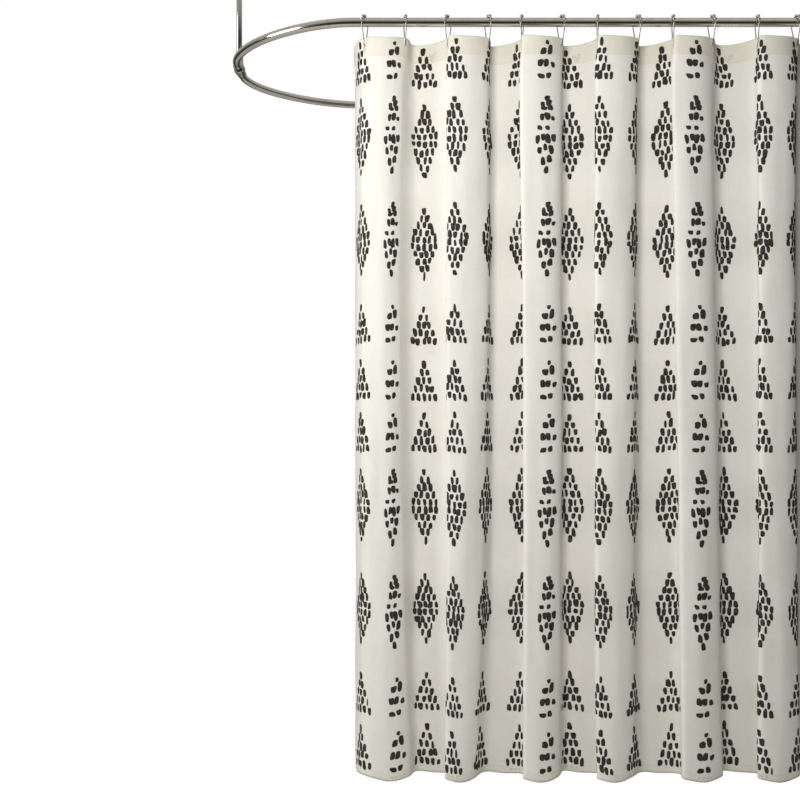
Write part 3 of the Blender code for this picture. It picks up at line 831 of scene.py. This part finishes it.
def on_cloth(across_places, depths, lift):
    """Points of the hung cloth for flat places on it, raised from its middle by lift."""
    across_places = np.clip(np.asarray(across_places, float), 0, CLOTH_WIDTH)
    depths = np.clip(np.asarray(depths, float), 0, CLOTH_DROP)
    column = np.clip(np.searchsorted(COLUMNS, across_places, side="right") - 1, 0, len(COLUMNS) - 2)
    row = np.clip(np.searchsorted(ROWS, depths, side="right") - 1, 0, len(ROWS) - 2)
    a = ((across_places - COLUMNS[column]) / (COLUMNS[column + 1] - COLUMNS[column]))[:, None]
    b = ((depths - ROWS[row]) / (ROWS[row + 1] - ROWS[row]))[:, None]

    def blend(values):
        upper = values[row, column] * (1 - a) + values[row, column + 1] * a
        lower = values[row + 1, column] * (1 - a) + values[row + 1, column + 1] * a
        return upper * (1 - b) + lower * b

    return blend(HUNG) + blend(FACING) * np.asarray(lift, float).reshape(-1, 1)


def drape(obj):
    """Bend a piece made flat, x across, -y down and z up from the cloth, onto the hung cloth."""
    flat = np.zeros(len(obj.data.vertices) * 3)
    obj.data.vertices.foreach_get("co", flat)
    flat = flat.reshape(-1, 3)
    obj.data.vertices.foreach_set("co", on_cloth(flat[:, 0], -flat[:, 1], flat[:, 2]).ravel())
    obj.data.update()
    return obj


# ---- Cotton ---------------------------------------------------------------------------------
# Unbleached cotton in a plain weave with a few thicker threads. The same cloth makes the panel
# and its turned header and hems. Where the cloth is double, the panel's colour is darkened with
# painted shade for the light that the double layer keeps from shining through from behind.

THREAD_SPACING = 0.0006
FOLD_BLUR = 0.0008          # half the width of the painted shade's edge at a fold
HEM_SHADE_SHARE = 0.5             # the bottom hem gets half as much of the painted shade as the header


def weave_group():
    """Plain weave in cloth coordinates: thread height, slub streaks and a soft mottle."""
    group, given, out = effect("plain_weave", (
        ("Vector", "Vector", None), ("Thread Spacing", "Float", THREAD_SPACING), ("Slub", "Float", 0.5)),
        (("Height", "Float"), ("Slubs", "Float"), ("Mottle", "Float")))
    place = node(group, "ShaderNodeSeparateXYZ", Vector=given["Vector"])
    waves = []
    for axis in "XY":
        phase = arithmetic(group, "DIVIDE", place.outputs[axis], given["Thread Spacing"])
        waves.append(arithmetic(group, "SINE", arithmetic(group, "MULTIPLY", phase, math.pi)))
    crossing = arithmetic(group, "MULTIPLY", waves[0], waves[1])
    streaks = [cloudy(group, stretched(group, given["Vector"], stretch), 1.0, 2.0)
               for stretch in ((30, 900, 1), (1100, 24, 1))]
    both = arithmetic(group, "MULTIPLY", arithmetic(group, "ADD", streaks[0], streaks[1]), 0.5)
    slubs = spread(group, both, 0.42, 0.68, 0.0, 1.0)
    mottle = cloudy(group, given["Vector"], 9.0, 5.0, Roughness=0.6)
    height = arithmetic(group, "ADD", crossing, arithmetic(group, "MULTIPLY", slubs, given["Slub"]))
    group.links.new(height, out["Height"])
    group.links.new(slubs, out["Slubs"])
    group.links.new(spread(group, mottle, 0.35, 0.65, 0.0, 1.0), out["Mottle"])
    return group


WEAVE = weave_group()


def cotton(name, light, dark, relief=0.00018, double_layer_shade=(1, 1, 1)):
    """Cotton between a lighter and a darker thread colour, with painted shade (double_layer_shade) where it
    is turned over.
    """
    def threads(tree):
        place = node(tree, "ShaderNodeTexCoord").outputs["UV"]
        weave = node(tree, "ShaderNodeGroup", node_tree=WEAVE, Vector=place,
                     Thread_Spacing=THREAD_SPACING, Slub=0.6).outputs
        colour = between_colours(tree, shares(tree, weave["Slubs"], 0.55, weave["Mottle"], 0.45),
                                 light, dark)
        down = node(tree, "ShaderNodeSeparateXYZ", Vector=place).outputs["Y"]
        header = spread(tree, down, -HEADER_DEPTH - FOLD_BLUR, -HEADER_DEPTH + FOLD_BLUR, 0, 1)
        foot = spread(tree, down, -HEM_TOP - FOLD_BLUR, -HEM_TOP + FOLD_BLUR, HEM_SHADE_SHARE, 0)
        # painted shade: the header and foot hem are darkened in place of the light from behind that the
        # double cloth holds back
        shaded_colour = node(tree, "ShaderNodeMix", data_type="RGBA", blend_type="MULTIPLY",
                      input_0=arithmetic(tree, "MAXIMUM", header, foot), input_6=colour,
                      input_7=(*double_layer_shade, 1))
        rough = spread(tree, weave["Slubs"], 0, 1, 0.82, 0.95)
        return shaded_colour.outputs[2], weave["Height"], rough

    return material(name, threads, (0.35, relief), Specular_IOR_Level=0.2, Sheen_Weight=0.12,
                    Sheen_Roughness=0.5)


# double_layer_shade is painted shade for the panel's double header and foot hem
ivory_cotton = cotton("ivory_cotton", (0.87, 0.86, 0.82), (0.79, 0.775, 0.71),
                      double_layer_shade=(0.94, 0.925, 0.87))
turned_cotton = cotton("turned_cotton", (0.83, 0.81, 0.755), (0.76, 0.74, 0.68))


def hang(obj, finish, slot, *nodes):
    """Finish a cloth piece: it moves with the curtain and gets a mesh of its own."""
    fit(obj, finish, "curtain", slot, *nodes, sharp=False)
    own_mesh(obj)
    return obj


def cloth_strip(name, columns, rows, lift, thickness, leave_out=()):
    """A flat strip of cloth over some columns and rows, hung and given its thickness."""
    columns, rows = np.asarray(columns), np.asarray(rows)
    bm = bmesh.new()
    layer = bm.loops.layers.uv.new("UVMap")
    verts = [[bm.verts.new((place, -depth, lift)) for place in columns] for depth in rows]
    for i in range(len(rows) - 1):
        for j in range(len(columns) - 1):
            middle = ((columns[j] + columns[j + 1]) / 2, (rows[i] + rows[i + 1]) / 2)
            if any(a < middle[0] < b and c < middle[1] < d for a, b, c, d in leave_out):
                continue
            face = bm.faces.new((verts[i][j], verts[i + 1][j], verts[i + 1][j + 1], verts[i][j + 1]))
            for loop in face.loops:
                loop[layer].uv = (loop.vert.co.x, loop.vert.co.y)
    bmesh.ops.delete(bm, geom=[v for v in bm.verts if not v.link_faces], context="VERTS")
    obj = drape(piece(name, mesh_of(name, bm)))
    wall = obj.modifiers.new("cloth", "SOLIDIFY")
    wall.thickness = thickness
    wall.offset = 0
    return plain(obj)


# ---- Panel, header and hems -----------------------------------------------------------------
# The panel is a single layer from edge to edge. Its top is turned to the back for the header, its
# sides and foot for narrow hems, and each turning lies against the back of the panel.

hole_places = (np.arange(RING_COUNT) + 0.5) * HOLE_PITCH
slits = [(place - SLIT_WIDTH / 2, place + SLIT_WIDTH / 2, SLIT_TOP, SLIT_TOP + SLIT_LENGTH)
         for place in hole_places]
TURNED_THICKNESS = 0.0006
LAYER_GAP = 0.00005
BEHIND = -(CLOTH_THICKNESS + TURNED_THICKNESS) / 2 - LAYER_GAP
EDGE_INSET = 0.0006         # the turned layers stop just short of the panel's top and bottom edges
inset = 2 * EDGE_INSET
turned_columns = np.concatenate(([inset], COLUMNS[1:-1], [CLOTH_WIDTH - inset]))

panel = cloth_strip("cotton_panel", COLUMNS, ROWS, 0.0, CLOTH_THICKNESS, slits)
hang(panel, ivory_cotton, "cotton", "curtain_panel")
header_rows = np.concatenate(([EDGE_INSET], ROWS[(ROWS > 0) & (ROWS < HEADER_DEPTH)], [HEADER_DEPTH]))
header = cloth_strip("turned_header", turned_columns, header_rows, BEHIND, TURNED_THICKNESS, slits)
hang(header, turned_cotton, "hem_cotton", "header_band")
foot_rows = np.concatenate(([HEM_TOP], ROWS[(ROWS > HEM_TOP) & (ROWS < CLOTH_DROP)],
                            [CLOTH_DROP - EDGE_INSET]))
foot_hem = cloth_strip("turned_bottom_hem", turned_columns, foot_rows, BEHIND, TURNED_THICKNESS)
hang(foot_hem, turned_cotton, "hem_cotton", "bottom_hem")
side_rows = ROWS[(ROWS > HEADER_DEPTH + 0.001) & (ROWS < HEM_TOP - 0.001)]
side_columns = np.linspace(inset, SIDE_HEM_WIDTH, 5)
for side, columns in (("left", side_columns), ("right", CLOTH_WIDTH - side_columns[::-1])):
    side_hem = cloth_strip("turned_side_hem_" + side, columns, side_rows, BEHIND, TURNED_THICKNESS)
    hang(side_hem, turned_cotton, "hem_cotton", "side_hem_" + side)


# ---- Stitching ------------------------------------------------------------------------------
# Ivory cotton thread: a straight lockstitch along the foot of the header and along each hem, and
# close satin stitches round every buttonhole.

STITCH_SIZES = ("Pitch", "Along", "Across", "Height")
LOCKSTITCH = (0.0036, 0.0028, 0.0009, 0.0009)
SATIN_STITCH = (0.00055, 0.0006, 0.0026, 0.0007)
SEAM_INSET = 0.002          # a seam's distance from the turned edge that it holds
SEAM_END = 0.003            # and from the cloth's side edges
BINDING = (0.0006, 0.0008)  # how far the satin stitches stand outside a slit's sides and its ends

thread_cotton = cotton("sewing_thread", (0.74, 0.72, 0.65), (0.60, 0.58, 0.51), 0.0001)


def stitch_maker():
    """Geometry nodes: thread stitches at a pitch along a seam that knows which way the cloth faces."""
    tree, given, out = grower("thread_stitches", *((name, "Float", None) for name in STITCH_SIZES))
    seam = node(tree, "GeometryNodeMeshToCurve", Mesh=given["Geometry"])
    spaced = node(tree, "GeometryNodeResampleCurve", mode="LENGTH", Curve=seam.outputs[0],
                  Length=given["Pitch"])
    facing = node(tree, "GeometryNodeInputNamedAttribute", data_type="FLOAT_VECTOR", Name="facing")
    heading = tree.nodes.new("GeometryNodeInputTangent")
    first = node(tree, "FunctionNodeAlignRotationToVector", axis="X", Vector=heading.outputs[0])
    second = node(tree, "FunctionNodeAlignRotationToVector", axis="Z", pivot_axis="X",
                  Rotation=first.outputs[0], Vector=facing.outputs[0])
    size = node(tree, "ShaderNodeCombineXYZ", X=given["Along"], Y=given["Across"], Z=given["Height"])
    grain = node(tree, "GeometryNodeMeshUVSphere", Segments=6, Rings=4, Radius=0.5)
    scatter(tree, given, out, spaced.outputs[0], grain.outputs["Mesh"], Rotation=second.outputs[0],
            Scale=size.outputs[0])
    return tree


STITCH_TREE = stitch_maker()


def seam_piece(name, seams, lift, sizes):
    """Stitches along lines given as flat (across, down) places, one line after another."""
    points, facings, edges = [], [], []
    for places, closed in seams:
        places = np.asarray(places, float)
        start = len(points)
        raised = on_cloth(places[:, 0], places[:, 1], np.full(len(places), lift))
        under = on_cloth(places[:, 0], places[:, 1], np.zeros(len(places)))
        points.extend(raised)
        facings.extend((raised - under) / abs(lift))
        edges.extend((start + i, start + i + 1) for i in range(len(places) - 1))
        if closed:
            edges.append((start + len(places) - 1, start))
    seam = points_piece(name, points, edges)
    facing = seam.data.attributes.new("facing", "FLOAT_VECTOR", "POINT")
    facing.data.foreach_set("vector", np.asarray(facings, float).ravel())
    return grown(seam, STITCH_TREE, {**dict(zip(STITCH_SIZES, sizes)), "Material": thread_cotton})


def level_seam(depth):
    return np.stack((np.linspace(SEAM_END, CLOTH_WIDTH - SEAM_END, 900), np.full(900, depth)), axis=1)


def upright_seam(place):
    return np.stack((np.full(300, place), np.linspace(HEADER_DEPTH, HEM_TOP, 300)), axis=1)


def slit_outline(place):
    """A narrow oval loop round one buttonhole."""
    middle = SLIT_TOP + SLIT_LENGTH / 2
    straight = SLIT_LENGTH / 2 - SLIT_WIDTH / 2
    loop = []
    for turn in turns_of(28):
        side = (SLIT_WIDTH / 2 + BINDING[0]) * math.cos(turn)
        down = (SLIT_WIDTH / 2 + BINDING[1]) * math.sin(turn) + math.copysign(straight, math.sin(turn))
        loop.append((place + side, middle + down))
    return np.array(loop)


hem_seams = [(level_seam(HEADER_DEPTH - SEAM_INSET), False), (level_seam(HEM_TOP + SEAM_INSET), False),
             (upright_seam(SIDE_HEM_WIDTH - SEAM_INSET), False),
             (upright_seam(CLOTH_WIDTH - SIDE_HEM_WIDTH + SEAM_INSET), False)]
buttonholes = [(slit_outline(place), True) for place in hole_places]
for name, seams, stitch in (("hem_stitches_", hem_seams, LOCKSTITCH),
                            ("buttonhole_stitches_", buttonholes, SATIN_STITCH)):
    for side, lift in (("front", CLOTH_THICKNESS / 2),
                       ("back", -(CLOTH_THICKNESS / 2 + TURNED_THICKNESS))):
        row = seam_piece(name + side, seams, lift, stitch)
        hang(row, thread_cotton, "hem_cotton")


# ---- Block print ----------------------------------------------------------------------------
# Charcoal ink dabbed on with a small brush-shaped block: rows of triangles and diamonds, fifteen
# across. Most are built of close rows of dabs; every fifth column is an open, looser one.

COLUMN_PITCH = 0.1198
FIRST_COLUMN = 0.0610
PRINT_COLUMNS = 15
# each row: (shape, top, foot), measured down from the top edge
PRINT_ROWS = (("triangle", 0.008, 0.110), ("diamond", 0.148, 0.339), ("diamond", 0.409, 0.591),
              ("triangle", 0.658, 0.756), ("triangle", 0.794, 0.896), ("triangle", 0.924, 1.026),
              ("diamond", 1.065, 1.254), ("diamond", 1.326, 1.506), ("triangle", 1.574, 1.675),
              ("triangle", 1.705, 1.812))
DIAMOND_WIDTH = 0.0760
TRIANGLE_WIDTH = 0.0740
LOOSE_SPREAD = 0.82         # a loose motif's width against a close one's
LOOSE_WIDENING = 1.5        # and the width of its dabs
# a loose motif: each dab's place across, its place down, its width and its height, as shares
LOOSE_TRIANGLE = ((0.04, 0.08, 0.75, 0.6), (-0.16, 0.30, 1.25, 0.9), (0.20, 0.26, 1.1, 1.3),
                  (-0.30, 0.58, 1.1, 1.0), (-0.02, 0.58, 1.1, 1.0), (0.34, 0.62, 0.9, 0.75),
                  (-0.28, 0.90, 1.35, 0.65), (0.10, 0.88, 1.0, 0.8))
LOOSE_DIAMOND = ((0.02, 0.03, 1.0, 0.8), (0.10, 0.09, 1.1, 0.9), (0.17, 0.15, 1.1, 0.8),
                 (-0.20, 0.12, 0.8, 0.9), (-0.14, 0.16, 1.2, 0.5), (-0.24, 0.27, 0.8, 1.0),
                 (0.02, 0.26, 1.2, 1.0), (0.30, 0.29, 0.8, 0.6), (-0.36, 0.41, 0.9, 0.6),
                 (0.02, 0.41, 0.9, 0.6), (-0.46, 0.56, 0.8, 1.2), (-0.20, 0.53, 0.8, 1.0),
                 (0.03, 0.55, 1.1, 1.3), (0.34, 0.54, 1.0, 1.1), (-0.38, 0.70, 0.8, 1.0),
                 (-0.10, 0.66, 0.8, 0.9), (0.20, 0.69, 1.1, 1.2), (-0.22, 0.84, 0.9, 1.1),
                 (0.10, 0.81, 1.1, 1.0), (-0.06, 0.95, 0.9, 1.0))
DAB_WIDTH = 0.0106
DAB_HEIGHT = 0.0180
DAB_SHAPES = 12
DAB_CORNERS = 16
DAB_SQUARENESS = 3.2
DAB_SHIFT = (0.0011, 0.0014)        # how far hand work moves a dab across and down
DAB_VARIATION = (0.16, 0.11)        # and changes its width and height, as shares
INK_THICKNESS = 0.00065
GHOST_THICKNESS = 0.00028
random = np.random.default_rng(41)


def dab_shapes():
    """Flat dabs with ragged outlines, a metre wide and high, for the print to pick from."""
    holder = bpy.data.collections.new("dab_shapes")
    for number in range(DAB_SHAPES):
        turns = turns_of(DAB_CORNERS)
        edge = 1 + 0.08 * np.cos(2 * turns + random.uniform(0, 6))
        edge += 0.05 * np.cos(3 * turns + random.uniform(0, 6)) + random.uniform(-0.06, 0.06, DAB_CORNERS)
        squared = (np.abs(np.cos(turns)) ** DAB_SQUARENESS
                   + np.abs(np.sin(turns)) ** DAB_SQUARENESS) ** (-1 / DAB_SQUARENESS)
        x = 0.5 * edge * squared * np.cos(turns) * (1 + 0.14 * np.sin(turns) * random.uniform(-1, 1))
        y = 0.5 * edge * squared * np.sin(turns)
        x = x + y * random.uniform(-0.24, 0.24)
        bm = bmesh.new()
        upper, lower, middle, core = (
            [bm.verts.new((a * size, b * size, level)) for a, b in zip(x[::step], y[::step])]
            for size, level, step in ((1, 1.0, 1), (1, 0.0, 1), (0.62, 1.0, 2), (0.28, 1.0, 2)))
        for i in range(DAB_CORNERS):
            after = (i + 1) % DAB_CORNERS
            bm.faces.new((upper[i], lower[i], lower[after], upper[after]))
        for i in range(len(middle)):
            after = (i + 1) % len(middle)
            bm.faces.new((upper[2 * i], upper[2 * i + 1], middle[i]))
            bm.faces.new((upper[2 * i + 1], upper[(2 * i + 2) % DAB_CORNERS], middle[after], middle[i]))
            bm.faces.new((middle[i], middle[after], core[after], core[i]))
        bm.faces.new(core)
        bm.faces.new(lower)
        bmesh.ops.recalc_face_normals(bm, faces=bm.faces)
        name = "dab_%02d" % number
        holder.objects.link(bpy.data.objects.new(name, mesh_of(name, bm)))
    return holder


def motif_dabs(shape, centre, top, foot, loose):
    """(across, down, width, height) of every dab in one motif."""
    height = foot - top
    width = DIAMOND_WIDTH if shape == "diamond" else TRIANGLE_WIDTH
    dabs = []
    if loose:
        layout = LOOSE_DIAMOND if shape == "diamond" else LOOSE_TRIANGLE
        for across_share, down_share, wide, tall in layout:
            dabs.append((centre + across_share * width * LOOSE_SPREAD, top + down_share * height,
                         DAB_WIDTH * LOOSE_WIDENING * wide, DAB_HEIGHT * tall))
        return dabs
    counts = (1, 2, 3, 4, 5, 5, 4, 3, 2, 1) if shape == "diamond" else (1, 2, 3, 4, 5)
    pitch = height / len(counts)
    for number, count in enumerate(counts):
        row_width = width * (count - 1) / 5 * 1.02
        for index in range(count):
            share = index / (count - 1) - 0.5 if count > 1 else 0
            wobble = random.normal(0, 1, 4)
            dabs.append((centre + share * row_width + DAB_SHIFT[0] * wobble[0],
                         top + (number + 0.5) * pitch + DAB_SHIFT[1] * wobble[1],
                         DAB_WIDTH * (1 + DAB_VARIATION[0] * wobble[2]),
                         DAB_HEIGHT * (1 + DAB_VARIATION[1] * wobble[3])))
    return dabs


def print_maker():
    """Geometry nodes: one of the dab shapes on each point, at the size that the point carries."""
    tree, given, out = grower("block_print", ("Dab Shapes", "Collection", None))
    picked = node(tree, "GeometryNodeCollectionInfo", Collection=given["Dab Shapes"],
                  Separate_Children=True, Reset_Children=True)
    size = node(tree, "GeometryNodeInputNamedAttribute", data_type="FLOAT_VECTOR", Name="size")
    kind = node(tree, "GeometryNodeInputNamedAttribute", data_type="INT", Name="kind")
    scatter(tree, given, out, given["Geometry"], picked.outputs[0], Scale=size.outputs[0],
            Pick_Instance=True, Instance_Index=kind.outputs[0])
    return tree


def ink(name, deep, thin, roughness):
    """Pigment on cotton: it lies unevenly, so the cloth shows through a little."""
    def pigment(tree):
        place = node(tree, "ShaderNodeTexCoord").outputs["Object"]
        patches = cloudy(tree, place, 110.0, 5.0, Roughness=0.7)
        threads = cloudy(tree, place, 1500.0, 2.0)
        cover = spread(tree, shares(tree, patches, 1.0, threads, 0.4), 0.52, 0.95, 0.0, 1.0)
        return between_colours(tree, cover, deep, thin), threads, None

    return material(name, pigment, (0.3, 0.0002), Roughness=roughness, Specular_IOR_Level=0.15)


charcoal_ink = ink("charcoal_ink", (0.020, 0.017, 0.014), (0.075, 0.066, 0.056), 0.85)
show_through = ink("ink_show_through", (0.60, 0.585, 0.54), (0.72, 0.70, 0.655), 0.9)
ghost_ink = ink("ink_under_hem", (0.62, 0.60, 0.54), (0.76, 0.745, 0.69), 0.9)

SHAPES = dab_shapes()
PRINT_TREE = print_maker()


def printed(name, dabs, base, thickness, finish):
    """Lay dabs on the flat cloth, then drape them with it. base is the dabs' lower face."""
    dabs = np.asarray(dabs, float)
    flat = points_piece(name, np.stack((dabs[:, 0], -dabs[:, 1], np.full(len(dabs), base)), axis=1))
    size = flat.data.attributes.new("size", "FLOAT_VECTOR", "POINT")
    sizes = np.stack((dabs[:, 2], dabs[:, 3], np.full(len(dabs), thickness)), axis=1)
    size.data.foreach_set("vector", sizes.ravel())
    kind = flat.data.attributes.new("kind", "INT", "POINT")
    kind.data.foreach_set("value", random.integers(0, DAB_SHAPES, len(dabs)).astype(np.int32))
    made = drape(grown(flat, PRINT_TREE, {"Dab Shapes": SHAPES, "Material": finish}))
    return hang(made, finish, "cotton")


all_dabs = {"triangle": [], "diamond": []}
for column in range(PRINT_COLUMNS):
    centre = FIRST_COLUMN + column * COLUMN_PITCH
    for shape, top, foot in PRINT_ROWS:
        all_dabs[shape].extend(motif_dabs(shape, centre, top, foot, column % 5 == 1))
INK_SINK = 0.0001           # how deep a dab's lower face lies in the cloth
EDGE_MARGIN = 0.004         # no dab's middle lies closer to the side edges
front_base = CLOTH_THICKNESS / 2 - INK_SINK
for shape, dabs in all_dabs.items():
    kept = [dab for dab in dabs if EDGE_MARGIN < dab[0] < CLOTH_WIDTH - EDGE_MARGIN]
    printed("print_%ss" % shape, kept, front_base, INK_THICKNESS, charcoal_ink)
    behind = [dab for dab in kept if HEADER_DEPTH < dab[1] < HEM_TOP]
    printed("print_%ss_through" % shape, behind, -front_base - INK_THICKNESS,
                          INK_THICKNESS, show_through)

# the turned-over print shows faintly through the header and the bottom hem: in some columns, marks
# at these places across from the column and down the cloth, each this wide and high
HEADER_MARKS = ((0.018, 0.030), (0.026, 0.034), (0.021, 0.041), (0.032, 0.028))
HEM_MARKS = [(across_gap, HEM_TOP + 0.009) for across_gap in (-0.022, -0.009, 0.004, 0.017)]
ghosts = []
for columns, marks, size in (((2, 7, 12), HEADER_MARKS, (0.0085, 0.0100)),
                             (range(1, PRINT_COLUMNS, 2), HEM_MARKS, (0.0095, 0.0060))):
    for column in columns:
        centre = FIRST_COLUMN + column * COLUMN_PITCH
        ghosts.extend((centre + across_gap, depth, *size) for across_gap, depth in marks)
printed("print_under_hems", ghosts, front_base, GHOST_THICKNESS, ghost_ink)


# ---- Studio ---------------------------------------------------------------------------------
# A plain pale floor under the curtain and soft light: one panel in front near the left end, one
# further to the left, and a surround that looks white and lights softly, mostly from above.

FLOOR_Z = BOTTOM_Z - 0.15
FLOOR_NEAR = -1.7           # the floor's front edge stays out of the view
FLOOR_GLOSS = 0.28          # how bright the floor mirrors in the steel
MIRRORED_ROOM = 0.7         # how much brighter the room mirrors than it lights
floor = points_piece("floor", [(-4, FLOOR_NEAR, FLOOR_Z), (6, FLOOR_NEAR, FLOOR_Z), (6, 6, FLOOR_Z),
                               (-4, 6, FLOOR_Z)], faces=[(0, 1, 2, 3)])
floor_paint = bpy.data.materials.new("pale_floor")
floor_paint.use_nodes = True
floor_tree = floor_paint.node_tree
floor_shader = floor_tree.nodes["Principled BSDF"]
floor_shader.inputs["Base Color"].default_value = (0.55, 0.54, 0.52, 1)
floor_shader.inputs["Roughness"].default_value = 0.8
bright = node(floor_tree, "ShaderNodeEmission", Color=(1, 1, 1, 1), Strength=1.0)
floor_rays = node(floor_tree, "ShaderNodeLightPath").outputs
floor_view = arithmetic(floor_tree, "MAXIMUM", floor_rays["Is Camera Ray"],
                        arithmetic(floor_tree, "MULTIPLY", floor_rays["Is Glossy Ray"], FLOOR_GLOSS))
floor_mix = node(floor_tree, "ShaderNodeMixShader", input_0=floor_view, input_1=floor_shader.outputs[0],
                 input_2=bright.outputs[0])
floor_tree.links.new(floor_mix.outputs[0], floor_tree.nodes["Material Output"].inputs["Surface"])
floor.data.materials.append(floor_paint)
floor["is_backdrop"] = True

world = bpy.data.worlds.new("studio")
bpy.context.scene.world = world
world.use_nodes = True
surround = world.node_tree
surround.nodes.clear()
gaze = node(surround, "ShaderNodeTexCoord").outputs["Generated"]
height = node(surround, "ShaderNodeSeparateXYZ", Vector=gaze).outputs["Z"]
tones = node(surround, "ShaderNodeValToRGB", Fac=spread(surround, height, -1, 1, 0, 1))
TONES = ((0.0, 0.1), (0.05, 0.1), (0.12, 0.02), (0.49, 0.025), (0.61, 0.20), (0.75, 0.28), (1.0, 0.33))
while len(tones.color_ramp.elements) < len(TONES):
    tones.color_ramp.elements.new(0.5)
for element, (place, tone) in zip(tones.color_ramp.elements, TONES):
    element.position = place
    element.color = (tone, tone * 0.975, tone * 0.92, 1)
light_path = node(surround, "ShaderNodeLightPath")
seen = node(surround, "ShaderNodeBackground", Color=(1, 1, 1, 1), Strength=1.0)
strength = arithmetic(surround, "MULTIPLY_ADD", light_path.outputs["Is Glossy Ray"], MIRRORED_ROOM, 1.0)
lighting = node(surround, "ShaderNodeBackground", Color=tones.outputs["Color"], Strength=strength)
either = node(surround, "ShaderNodeMixShader", input_0=light_path.outputs["Is Camera Ray"],
              input_1=lighting.outputs[0], input_2=seen.outputs[0])
node(surround, "ShaderNodeOutputWorld", Surface=either.outputs[0])


def lamp(name, place, aim, size, power, colour):
    light = bpy.data.lights.new(name, "AREA")
    light.shape = "RECTANGLE"
    light.size, light.size_y = size
    light.energy = power
    light.color = colour
    obj = piece(name, light)
    obj.location = place
    obj.rotation_euler = (Vector(aim) - Vector(place)).to_track_quat("-Z", "Y").to_euler()
    return obj


front = lamp("front_panel", (0.10, -2.30, -0.50), (0.40, -0.34, -0.75), (1.0, 1.0), 38,
             (1.0, 0.985, 0.955))
left = lamp("side_panel", (-2.4, -1.1, -0.6), (0.4, -0.34, -1.0), (1.2, 1.6), 38, (1.0, 1.0, 0.99))
front.visible_glossy = False
front.visible_camera = False
left.visible_camera = False

camera = bpy.data.cameras.new("camera")
camera.lens = 43.65
camera.sensor_width = 36
view = piece("camera", camera)
view.location = (0.459, -2.77, -1.366)
view.rotation_euler = (math.pi / 2, 0, 0)
bpy.context.scene.camera = view
bpy.context.scene.view_settings.view_transform = "Standard"

low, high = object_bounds()
